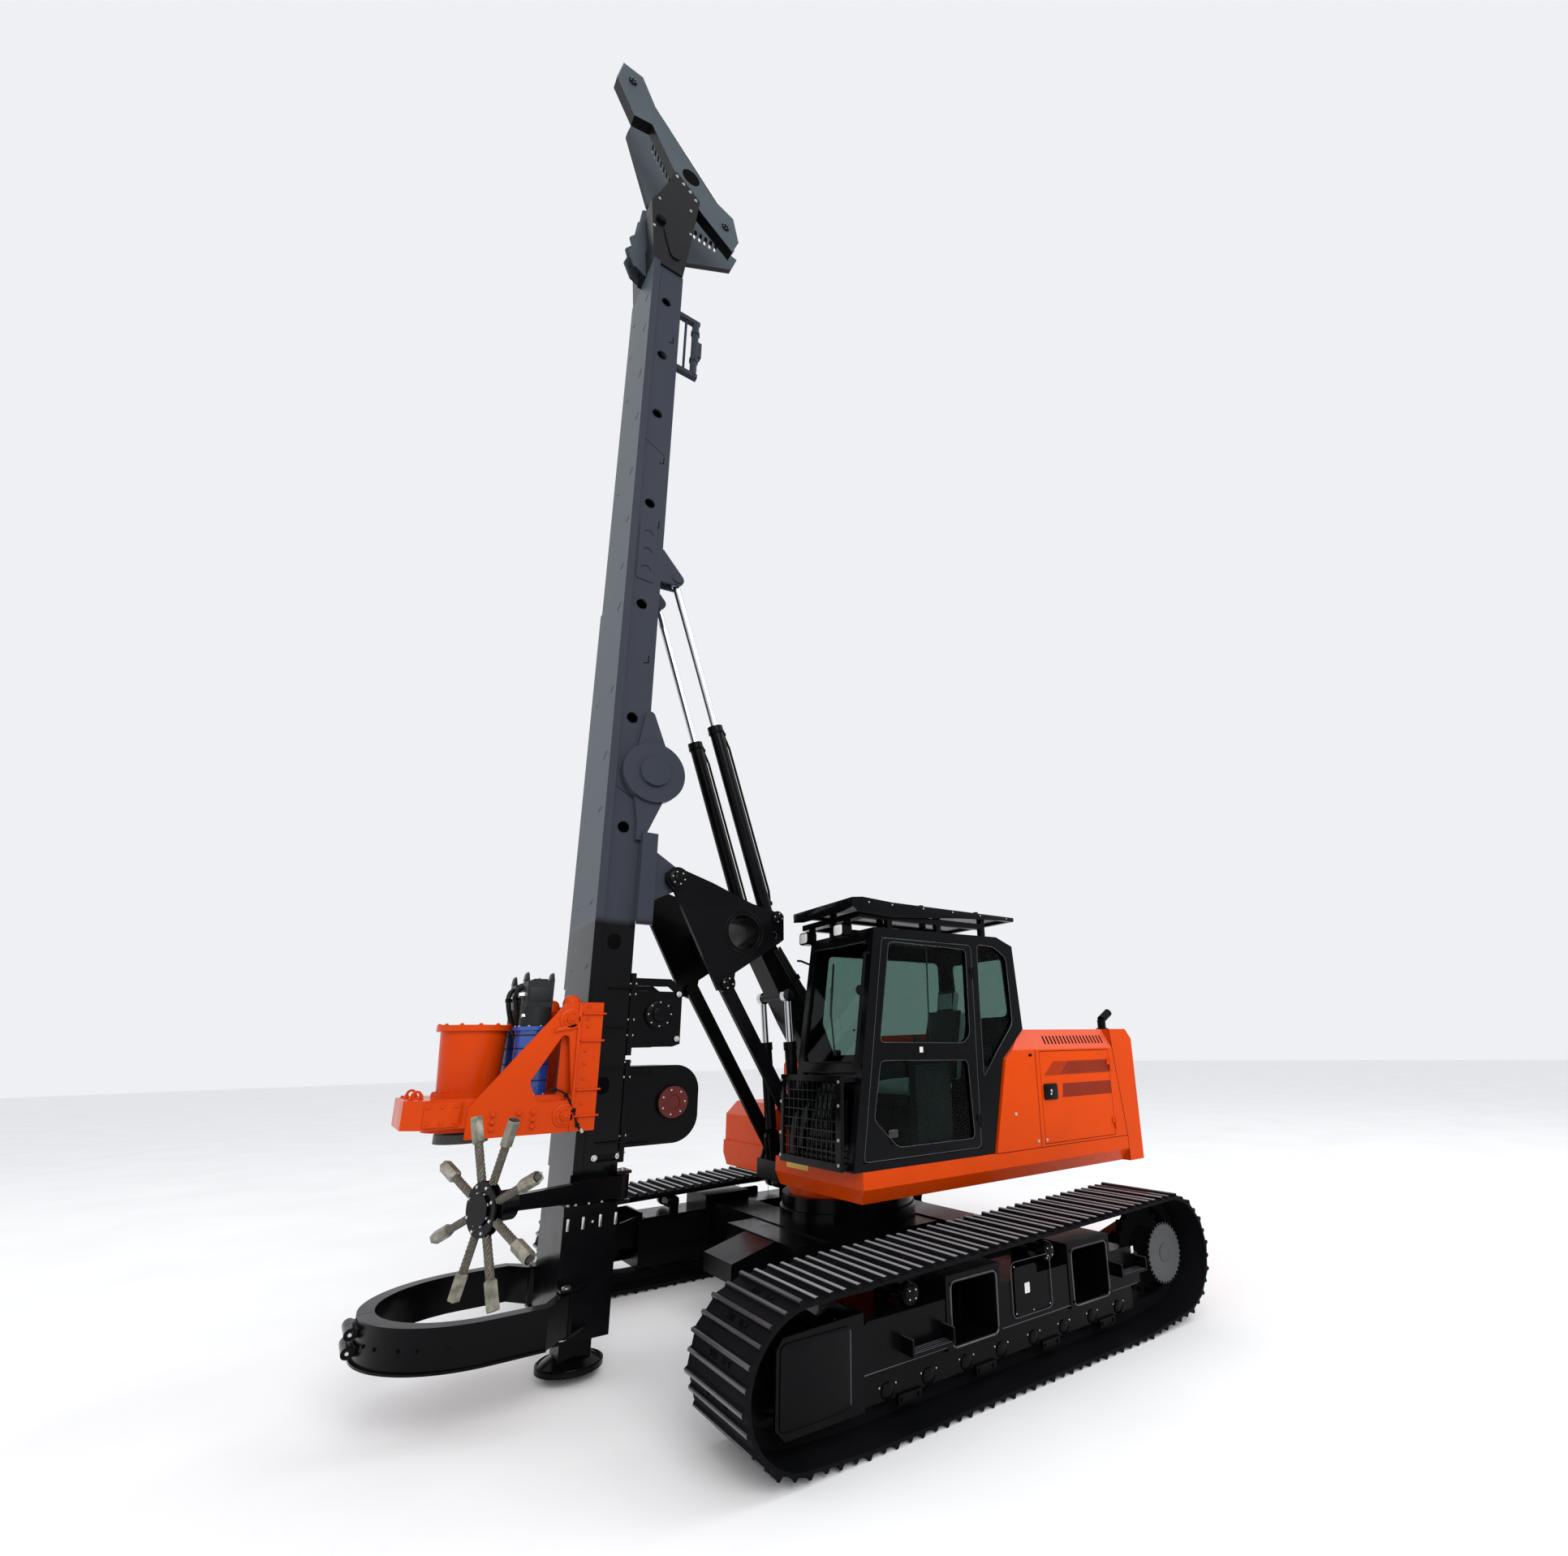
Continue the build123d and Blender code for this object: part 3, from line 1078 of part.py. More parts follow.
def cleaner_arm():
    z0, z1 = cleaner_low, cleaner_high
    reach = math.hypot(star_hub[0] - cleaner_pin[0], star_hub[1] - cleaner_pin[1])
    heading = math.degrees(math.atan2(star_hub[1] - cleaner_pin[1], star_hub[0] - cleaner_pin[0]))
    far = reach - 140
    bar = side_plate([(0, z0 + 6), (far, star_hub[2] - 40), (far, star_hub[2] + 44), (0, z1 - 4)], -35, 35)
    bar += rod_z(0, 0, z0, z1, 48)
    bar -= rod_z(0, 0, z0 - 5, z1 + 5, 22 + slide_gap)
    arm = Pos(cleaner_pin[0], cleaner_pin[1], 0) * Rot(0, 0, heading) * bar
    face = star_plane().offset(-165)
    return arm + extrude(face * Circle(85), amount=100)


def star_plane():
    """The star's plane, through its hub, facing forward along the turned axis."""
    turn = math.radians(star_turn)
    return Plane(origin=star_hub, z_dir=(math.cos(turn), math.sin(turn), 0), x_dir=(-math.sin(turn),
            math.cos(turn), 0))


def star():
    hub_plane = star_plane()
    body = extrude(hub_plane.offset(-26) * Circle(star_hub_r), amount=12)
    body += extrude(hub_plane.offset(14) * Circle(star_hub_r), amount=12)
    body += extrude(hub_plane.offset(-26) * Circle(star_hub_r - 60), amount=66)
    body += extrude(hub_plane.offset(-65 + slide_gap) * Circle(50), amount=60)
    for index in range(star_arms):
        angle = math.radians((index + 0.5) * 360 / star_arms)
        out = hub_plane.x_dir * math.cos(angle) + hub_plane.y_dir * math.sin(angle)
        local = Plane(origin=star_hub, x_dir=hub_plane.z_dir, z_dir=out)
        body += extrude(local.offset(star_hub_r - 70) * Circle(17), amount=star_r - star_hub_r)
        body += extrude(local.offset(star_r - 150) * Circle(30), amount=150)
    return body


def head_beam(outline, y0, y1, axles):
    """A box beam with a slot at each end, where a sheave runs on its axle."""
    beam = side_plate(outline, y0, y1)
    slot_r = head_sheave_r + 15
    for (x, z), (other_x, other_z) in (axles, axles[::-1]):
        reach = math.hypot(x - other_x, z - other_z)
        out_x, out_z = x + (x - other_x) / reach * 400, z + (z - other_z) / reach * 400
        beam -= hull([(x, z, slot_r), (out_x, out_z, slot_r)], y0 + head_plate, y1 - head_plate)
        beam += rod_y(x, z, y0 - 12, y1 + 12, head_axle_r)
    return beam


def far_head_beam():
    """The far beam is one plate with a row of slots at its front and long holes at its rear."""
    y0, y1 = -head_beam_y, -head_beam_y + 60
    beam = side_plate(far_beam_outline, y0, y1)
    for index in range(slot_count):
        x = slot_first[0] + (slot_last[0] - slot_first[0]) * index / (slot_count - 1)
        z = slot_first[1] + (slot_last[1] - slot_first[1]) * index / (slot_count - 1)
        beam -= box(x, x + 16, y0 - 5, y1 + 5, z - 150, z)
    for x in (1690, 1755, 1820, 1885, 1950):
        beam -= hull([(x, 11690, 17), (x + 12, 11580, 17)], y0 - 5, y1 + 5)
    return beam


# Mast head

def head_frame():
    near = head_beam(near_beam_outline, head_beam_y - head_beam_width, head_beam_y, (head_front, head_rear))
    crown = side_plate([(mast_rear_x + 10, mast_top), (mast_front_x, mast_top), (2600, 10500),
                        (2640, 10900), (2565, 11070),
                        (2400, 11540), (2120, 11330), (2180, 10700)], -crown_half, crown_half)
    crown -= box(2000, 3000, -150, 150, mast_top + 320, 11800)
    tongue = hull([(2360, 10600, 130), (2350, 10330, 60)], crown_half - 1, crown_half + 14)
    boss = rod_y(2524, 10692, crown_half - 1, crown_half + 30, 52)
    nose = side_plate([(mast_front_x - 10, 10110), (2690, 10170), (2765, 10330), (2735, 10430),
                       (2765, 10520), (2700, 10620),
                       (2665, 11000), (2590, 11060), (mast_front_x - 10, 10900)], 60, 85)
    for shape in both_sides(tongue) + both_sides(boss) + both_sides(nose):
        crown += shape
    crown += box(mast_front_x - 10, mast_front_x + 40, -85, 85, 10110, 10800)
    return crown + near + far_head_beam()


def head_sheave(x, z):
    middle = head_beam_y - head_beam_width / 2
    half = head_beam_width / 2 - head_plate - 2
    wheel = rod_y(x, z, middle - half, middle + half, head_sheave_r)
    wheel -= rod_y(x, z, middle - 14, middle + 14, head_sheave_r + 5) - rod_y(x, z, middle - 14,
            middle + 14, head_sheave_r - 26)
    return wheel - rod_y(x, z, middle - 100, middle + 100, head_axle_r + slide_gap)


def exhaust():
    pipe = rod_z(exhaust_x, exhaust_y, hood_top, exhaust_top, exhaust_r)
    bend = Pos(exhaust_x, exhaust_y, exhaust_top) * Rot(0, -60, 0) * Cylinder(
        exhaust_r, 150, align=(Align.CENTER, Align.CENTER, Align.MIN))
    return pipe + bend


def build():
    os.makedirs("parts", exist_ok=True)
    save("car_body", car_body())
    save("slewing_ring", slewing_ring())
    for name, left in (("left", True), ("right", False)):
        save(f"track_{name}", track(left))
        save(f"sprocket_{name}", sprocket(left))
        save(f"idler_{name}", idler(left))
        save(f"rollers_{name}", *rollers(left))
        save(f"track_frame_{name}", track_frame(left))
        save(f"support_link_{name}", support_link(left))
        save(f"engine_door_{name}", side_door(left))
        save(f"guide_half_{name}", guide_half(left))
    save("deck", deck())
    save("main_frame", main_frame())
    save("hood", hood())
    save("counterweight", counterweight())
    save("rear_panel", rear_panel())
    save("right_tank", right_tank())
    save("toolbox", toolbox())
    save("engine_block", box(-2150, -1250, -380, 380, deck_top, 1950))
    save("exhaust", exhaust())
    save("cab_shell", cab_shell())
    save("cab_glass", *cab_glass())
    save("cab_door", cab_door())
    save("door_glass", *door_glass())
    save("roof_guard", roof_guard())
    save("front_guard", front_guard())
    save("seat", seat())
    save("cab_controls", *console(), *pedals())
    save("boom", boom())
    save("boom_hoses", *boom_hoses())
    save("mast_carrier", mast_carrier())
    luff = (luff_base, luff_eye)
    tilt = (tilt_base, tilt_eye)
    save("luff_barrels", *both_sides(cylinder_barrel(*luff, luff_y, luff_barrel_r, luff_rod_r,
                                                     luff_barrel_length)))
    save("luff_rods", *both_sides(cylinder_rod(*luff, luff_y, luff_rod_r, 420)))
    save("tilt_barrels", *both_sides(cylinder_barrel(*tilt, tilt_y, tilt_barrel_r, tilt_rod_r,
                                                     tilt_barrel_length)))
    save("tilt_rods", *both_sides(cylinder_rod(*tilt, tilt_y, tilt_rod_r, 1500)))
    save("mast", mast())
    save("sheave_housings", *sheave_housings())
    save("mast_foot", mast_foot())
    save("foot_jack", foot_jack())
    save("winches", *winches())
    save("winch_drum", winch_drum())
    save("hose_roller", hose_roller())
    save("head_frame", head_frame())
    save("head_sheave_front", head_sheave(*head_front))
    save("head_sheave_rear", head_sheave(*head_rear))
    save("sled", sled())
    save("rotary_drive", rotary_drive())
    save("drum", drum())
    save("spindle", spindle())
    save("gearboxes", *gearboxes())
    save("motors", *motors())
    save("cleaner_arm", cleaner_arm())
    save("star", star())


build()
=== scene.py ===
import random
from math import cos, dist, exp, pi, radians, sin

import bmesh
import bpy
from mathutils import Matrix, Vector


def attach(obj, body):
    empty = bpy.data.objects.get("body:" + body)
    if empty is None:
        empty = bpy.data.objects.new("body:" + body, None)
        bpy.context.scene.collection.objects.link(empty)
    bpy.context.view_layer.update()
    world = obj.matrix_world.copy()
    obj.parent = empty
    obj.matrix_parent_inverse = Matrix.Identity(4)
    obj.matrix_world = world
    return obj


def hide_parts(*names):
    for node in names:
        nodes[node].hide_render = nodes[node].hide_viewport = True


# Crawler pile driver rig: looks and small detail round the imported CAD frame.
# Metres, +X forward to the mast, +Y the cab side, +Z up.

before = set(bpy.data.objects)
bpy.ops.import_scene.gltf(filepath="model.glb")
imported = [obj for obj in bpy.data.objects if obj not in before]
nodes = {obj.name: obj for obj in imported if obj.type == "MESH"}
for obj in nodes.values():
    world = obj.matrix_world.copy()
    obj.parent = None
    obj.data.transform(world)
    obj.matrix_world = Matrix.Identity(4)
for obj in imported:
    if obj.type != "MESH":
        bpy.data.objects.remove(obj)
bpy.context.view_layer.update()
random.seed(7)

# Camera: place, turns, and lens and picture centre as shares of the photo's 1932 pixels

CAMERA = Vector((3.6566, 6.1253, 2.1600))
YAW, PITCH, ROLL = radians(-127.272), radians(16.240), radians(-1.287)
FOCAL_SHARE = 897.64 / 1932
CENTRE_X, CENTRE_Y = 1087.99 / 1932, 1030.10 / 1932
ASPECT = 1917 / 1932
SENSOR = 36


def make_camera():
    forward = Vector((cos(PITCH) * cos(YAW), cos(PITCH) * sin(YAW), sin(PITCH)))
    level = forward.cross(Vector((0, 0, 1))).normalized()
    above = level.cross(forward)
    right = level * cos(ROLL) + above * sin(ROLL)
    up = above * cos(ROLL) - level * sin(ROLL)
    data = bpy.data.cameras.new("camera")
    data.sensor_fit = "HORIZONTAL"
    data.sensor_width = SENSOR
    data.lens = SENSOR * FOCAL_SHARE
    data.shift_x = 0.5 - CENTRE_X
    data.shift_y = CENTRE_Y - ASPECT / 2
    data.clip_end = 200
    obj = bpy.data.objects.new("camera", data)
    bpy.context.scene.collection.objects.link(obj)
    obj.matrix_world = Matrix([(right[k], up[k], -forward[k], CAMERA[k]) for k in range(3)] + [(0, 0, 0, 1)])
    bpy.context.scene.camera = obj


make_camera()

# Materials


def new_material(name):
    material = bpy.data.materials.new(name)
    material.use_nodes = True
    tree = material.node_tree
    return material, tree, tree.nodes["Principled BSDF"]


def feed(tree, node, sockets):
    """Links each socket to another node's output, or sets it to a number or colour."""
    for socket, value in sockets.items():
        if isinstance(value, bpy.types.NodeSocket):
            tree.links.new(value, node.inputs[socket])
        else:
            node.inputs[socket].default_value = value
    return node


def coordinates(tree, kind="Object"):
    return tree.nodes.new("ShaderNodeTexCoord").outputs[kind]


def coordinate(tree, axis, kind="Object"):
    """One of the object's own coordinates, or of its normal."""
    split = tree.nodes.new("ShaderNodeSeparateXYZ")
    return feed(tree, split, {"Vector": coordinates(tree, kind)}).outputs[axis]


def map_range(tree, value, low, high, to_low=0.0, to_high=1.0):
    node = tree.nodes.new("ShaderNodeMapRange")
    feed(tree, node, {"Value": value, "From Min": low, "From Max": high, "To Min": to_low, "To Max": to_high})
    return node.outputs["Result"]


def maths(tree, operation, value, other=0.0):
    node = tree.nodes.new("ShaderNodeMath")
    node.operation = operation
    return feed(tree, node, {0: value, 1: other}).outputs["Value"]


def mixed(tree, share, a, b):
    node = tree.nodes.new("ShaderNodeMix")
    node.data_type = "RGBA"
    return feed(tree, node, {"Factor": share, "A": a, "B": b}).outputs["Result"]


def facing(tree, axis, low, high, operation="ABSOLUTE"):
    """How far a surface turns towards the object's own axis, 0 to 1. MAXIMUM leaves out the other way."""
    return map_range(tree, maths(tree, operation, coordinate(tree, axis, "Normal")), low, high)


def noise(tree, scale, detail=4.0, stretch=None):
    """A noise value over the object's own coordinates."""
    place = coordinates(tree)
    if stretch:
        mapping = tree.nodes.new("ShaderNodeMapping")
        place = feed(tree, mapping, {"Vector": place, "Scale": stretch}).outputs["Vector"]
    texture = tree.nodes.new("ShaderNodeTexNoise")
    return feed(tree, texture, {"Vector": place, "Scale": scale, "Detail": detail}).outputs["Fac"]


def ramp(tree, value, low, high, color_a, color_b):
    node = tree.nodes.new("ShaderNodeValToRGB")
    for element, place, color in zip(node.color_ramp.elements, (low, high), (color_a, color_b)):
        element.position = place
        element.color = (*color, 1)
    return feed(tree, node, {"Fac": value}).outputs["Color"]


def drift(tree, scale, color, shade, detail=6, stretch=None):
    """A slow drift between two colours."""
    return ramp(tree, noise(tree, scale, detail, stretch), 0.35, 0.68, color, shade)


def spread(tree, value, low, high):
    return map_range(tree, value, 0.3, 0.7, low, high)


def bump(tree, height, strength=0.12, distance=0.0004):
    node = tree.nodes.new("ShaderNodeBump")
    return feed(tree, node, {"Height": height, "Strength": strength, "Distance": distance}).outputs["Normal"]


def paint(name, color, shade, roughness=(0.2, 0.32), coat=0.0, specular=0.5, grain=160, depth=0.0004, top=None):
    """Sprayed paint: slow colour drift, faint dust, orange peel in the bump, and a painted sky reflection paling upward
    faces.
    """
    material, tree, shader = new_material(name)
    base = drift(tree, 1.7, color, shade)
    # top: colour of a painted sky reflection, mixed in on faces turned upwards
    if top:
        sky_sheen = drift(tree, 1.1, top, tuple(c * 0.93 for c in top), 5)
        base = mixed(tree, facing(tree, "Z", 0.25, 0.42, "MAXIMUM"), base, sky_sheen)
    feed(tree, shader, {
        "Base Color": base, "Roughness": spread(tree, noise(tree, 5.0, 8), *roughness),
        "Specular IOR Level": specular, "Coat Weight": coat, "Coat Roughness": 0.12,
        "Normal": bump(tree, noise(tree, grain, 2), distance=depth)})
    return material


def bare_metal(name, color, shade, roughness, scale, stretch=(1, 1, 1), metallic=1.0):
    material, tree, shader = new_material(name)
    feed(tree, shader, {
        "Base Color": ramp(tree, noise(tree, scale, 8, stretch), 0.3, 0.7, color, shade),
        "Roughness": spread(tree, noise(tree, scale * 2, 4, stretch), *roughness), "Metallic": metallic,
        "Normal": bump(tree, noise(tree, scale * 3, 4, stretch), 0.2)})
    return material


def plastic(name, color, shade, roughness=(0.45, 0.6), grain=900, strength=0.25, specular=0.3):
    material, tree, shader = new_material(name)
    feed(tree, shader, {
        "Base Color": ramp(tree, noise(tree, 6, 5), 0.35, 0.65, color, shade),
        "Roughness": spread(tree, noise(tree, 20, 5), *roughness), "Specular IOR Level": specular,
        "Normal": bump(tree, noise(tree, grain, 2), strength, 0.0003)})
    return material


def glass(name, color, roughness):
    material, tree, shader = new_material(name)
    feed(tree, shader, {
        "Base Color": (*color, 1), "Roughness": spread(tree, noise(tree, 3, 6), roughness * 0.6, roughness * 1.4),
        "Transmission Weight": 1.0, "IOR": 1.12, "Specular IOR Level": 0.7})
    return material


def cloth(name, color, shade):
    material, tree, shader = new_material(name)
    weave = feed(tree, tree.nodes.new("ShaderNodeTexWave"), {"Scale": 220, "Vector": coordinates(tree)})
    feed(tree, shader, {
        "Base Color": ramp(tree, noise(tree, 9, 6), 0.3, 0.7, color, shade), "Roughness": 0.85,
        "Sheen Weight": 0.3, "Normal": bump(tree, weave.outputs["Fac"], 0.3, 0.0008)})
    return material


def head_paint():
    """Blue-grey beam sides, with near-black edges and crown."""
    material, tree, shader = new_material("head_paint")
    # the crown's plates stand further out than the beams' faces, which are 0.301 m from the middle
    beams = map_range(tree, maths(tree, "ABSOLUTE", coordinate(tree, "Y")), 0.3010, 0.3012, 1.0, 0.0)
    sides = maths(tree, "MULTIPLY", facing(tree, "Y", 0.5, 0.6), beams)
    dark = drift(tree, 1.7, (0.0022, 0.0024, 0.0034), (0.0036, 0.0038, 0.0050))
    pale = drift(tree, 1.3, (0.040, 0.052, 0.062), (0.050, 0.064, 0.076))
    feed(tree, shader, {
        "Base Color": mixed(tree, sides, dark, pale), "Roughness": spread(tree, noise(tree, 5.0, 8), 0.26, 0.38),
        "Specular IOR Level": 0.15, "Normal": bump(tree, noise(tree, 160, 2))})
    return material


SPRAY_EDGE = 3.14, 3.20


def mast_paint():
    """Satin blue-grey above the carrier, paler in front from a painted highlight, and glossy black below."""
    material, tree, shader = new_material("mast_paint")
    height = map_range(tree, coordinate(tree, "Z"), *SPRAY_EDGE)
    low = drift(tree, 1.7, (0.0016, 0.0017, 0.0021), (0.0028, 0.0028, 0.0034))
    high = drift(tree, 1.1, (0.024, 0.028, 0.039), (0.030, 0.034, 0.046), stretch=(1, 1, 0.3))
    # strip: painted highlight colour, laid on the faces turned along X above the carrier
    strip = drift(tree, 0.9, (0.040, 0.056, 0.066), (0.052, 0.070, 0.082), stretch=(1, 1, 0.2))
    front = maths(tree, "MULTIPLY", facing(tree, "X", 0.5, 0.6), height)
    feed(tree, shader, {
        "Base Color": mixed(tree, front, mixed(tree, height, low, high), strip),
        "Roughness": map_range(tree, coordinate(tree, "Z"), *SPRAY_EDGE, 0.16, 0.36),
        "Specular IOR Level": 0.1, "Normal": bump(tree, noise(tree, 160, 2))})
    return material


ORANGE = paint("orange_paint", (0.55, 0.047, 0.001), (0.49, 0.040, 0.001), specular=0.1)
# body and hood share one orange; their top colour is a painted sky reflection on upward faces
BODY = paint("body_paint", (0.63, 0.057, 0.001), (0.57, 0.050, 0.001), specular=0.07, top=(0.64, 0.090, 0.040))
HOOD_ORANGE = paint("hood_paint", (0.63, 0.057, 0.001), (0.57, 0.050, 0.001), specular=0.07, top=(0.64, 0.095, 0.045))
BLACK = paint("black_paint", (0.0016, 0.0017, 0.0021), (0.0028, 0.0028, 0.0034), (0.14, 0.28), specular=0.075)
MAST = mast_paint()
HEAD = head_paint()
TRACK = paint("track_paint", (0.0034, 0.0036, 0.0042), (0.0062, 0.0064, 0.0072), (0.5, 0.65), specular=0.03)
CAB = paint("cab_paint", (0.0020, 0.0022, 0.0028), (0.0032, 0.0035, 0.0042), (0.12, 0.22), specular=0.075)
BLUE = paint("blue_paint", (0.008, 0.060, 0.30), (0.006, 0.045, 0.24), (0.2, 0.35), 0.4)
RED = paint("red_brown_paint", (0.10, 0.010, 0.008), (0.07, 0.008, 0.006), (0.3, 0.45), 0.05, specular=0.2)
GREY = paint("sprocket_grey", (0.035, 0.037, 0.040), (0.055, 0.057, 0.060), (0.4, 0.55), specular=0.3)
# painted shade: darkened orange standing for the shaded recesses of the door grilles
GRILLE = paint("grille_recess_shade", (0.22, 0.022, 0.006), (0.18, 0.017, 0.005), (0.5, 0.7), specular=0.1)
CHROME = bare_metal("rod_chrome", (0.62, 0.64, 0.66), (0.5, 0.52, 0.54), (0.08, 0.16), 40, (1, 1, 0.05))
# painted highlight: bright metal lines along the head beams' rim
RIM_HIGHLIGHT = bare_metal("rim_highlight", (0.40, 0.39, 0.37), (0.55, 0.54, 0.52), (0.22, 0.38), 50)
ZINC = bare_metal("zinc_bolts", (0.62, 0.62, 0.60), (0.48, 0.48, 0.47), (0.25, 0.4), 80)
FERRULE = bare_metal("ferrule_steel", (0.27, 0.255, 0.20), (0.10, 0.095, 0.07), (0.25, 0.45), 22, metallic=0.5)
ROPE = bare_metal("wire_rope", (0.13, 0.115, 0.09), (0.05, 0.045, 0.035), (0.4, 0.6), 90, metallic=0.4)
DULL = bare_metal("dull_steel", (0.022, 0.022, 0.022), (0.045, 0.045, 0.045), (0.35, 0.5), 60, metallic=0.3)
IRON = paint("engine_iron", (0.03, 0.03, 0.03), (0.05, 0.05, 0.05), (0.5, 0.7))
CASTING = paint("motor_casting", (0.010, 0.011, 0.012), (0.018, 0.019, 0.020), (0.35, 0.5), specular=0.15,
                grain=60, depth=0.0012)
# painted highlight on the grousers' crests: dark, with a pale top colour on upward faces
CREST_HIGHLIGHT = paint("crest_highlights", (0.020, 0.021, 0.023), (0.035, 0.037, 0.040), (0.3, 0.45), specular=0.4,
             top=(0.27, 0.28, 0.295))
# painted highlight: pale grey lines on the edges, rims and seams of dark parts
EDGE_HIGHLIGHT = paint("edge_highlight", (0.030, 0.032, 0.037), (0.055, 0.058, 0.064))
RUBBER = plastic("hose_rubber", (0.002, 0.002, 0.002), (0.004, 0.004, 0.004), (0.3, 0.45), 600, 0.2, 0.15)
TRIM = plastic("cab_trim", (0.03, 0.03, 0.032), (0.045, 0.045, 0.048))
GLASS = glass("cab_glass", (0.29, 0.39, 0.36), 0.02)
SEAT = cloth("seat_cloth", (0.46, 0.54, 0.58), (0.56, 0.64, 0.68))
YELLOW = paint("yellow_plate", (0.75, 0.42, 0.02), (0.68, 0.38, 0.02), (0.3, 0.45), 0.1)
WHITE = paint("white_plate", (0.62, 0.62, 0.60), (0.55, 0.55, 0.53), (0.3, 0.45), 0.1)
# near-black: painted shade in openings, slots and holes, and the dark joints between panels
DARK = plastic("shade_and_joints_dark", (0.0010, 0.0010, 0.0010), (0.0020, 0.0020, 0.0020), specular=0.02)
LAMP = paint("lamp_lens", (0.75, 0.75, 0.72), (0.65, 0.65, 0.62), (0.05, 0.12), 0.8)
RED_LENS = paint("red_lens", (0.35, 0.01, 0.01), (0.28, 0.01, 0.01), (0.08, 0.15), 0.8)

# The CAD nodes that each material dresses

NODES_OF = {
    TRACK: "track_left track_right sprocket_left sprocket_right",
    BLACK: "idler_left idler_right rollers_left rollers_right track_frame_left track_frame_right car_body "
           "slewing_ring main_frame exhaust roof_guard front_guard boom support_link_left support_link_right "
           "mast_carrier luff_barrels tilt_barrels mast_foot foot_jack winches winch_drum head_sheave_front "
           "head_sheave_rear guide_half_left guide_half_right cleaner_arm star",
    BODY: "deck counterweight rear_panel right_tank toolbox engine_door_left engine_door_right",
    HOOD_ORANGE: "hood", IRON: "engine_block", CAB: "cab_shell cab_door", GLASS: "cab_glass door_glass", SEAT: "seat",
    TRIM: "cab_controls", RUBBER: "boom_hoses", CHROME: "luff_rods tilt_rods", HEAD: "head_frame",
    MAST: "mast sheave_housings hose_roller", ORANGE: "sled rotary_drive drum", DULL: "spindle",
    BLUE: "gearboxes", CASTING: "motors",
}

# Each CAD node dressed with its material


def dress(obj, material):
    obj.data.materials.clear()
    obj.data.materials.append(material)


for material, names in NODES_OF.items():
    for node_name in names.split():
        dress(nodes[node_name], material)

# Simple forms. Places and sizes are millimetres from the slewing axis, as in the part's source.
# A side is 1 for the cab's (+Y) and -1 for the other; as an axis it points outwards on that side.

ORIGIN_X = 500.0
AXES = {"x": (1, 0, 0), "-x": (-1, 0, 0), 1: (0, 1, 0), -1: (0, -1, 0), "z": (0, 0, 1), "-z": (0, 0, -1)}
SIDES = (("left", 1), ("right", -1))
BOTH = (1, -1)


def at(x, y, z):
    return Vector(((x - ORIGIN_X) / 1000, y / 1000, z / 1000))


def crossing(axis):
    """An axis, and two headings square to it."""
    out = Vector(AXES.get(axis, axis)).normalized()
    across = out.orthogonal().normalized()
    return out, across, out.cross(across)


def new_object(name, mesh, material):
    """A smooth-shaded object from a finished bmesh, which this frees."""
    data = bpy.data.meshes.new(name)
    mesh.to_mesh(data)
    mesh.free()
    data.polygons.foreach_set("use_smooth", [True] * len(data.polygons))
    obj = bpy.data.objects.new(name, data)
    bpy.context.scene.collection.objects.link(obj)
    dress(obj, material)
    return obj


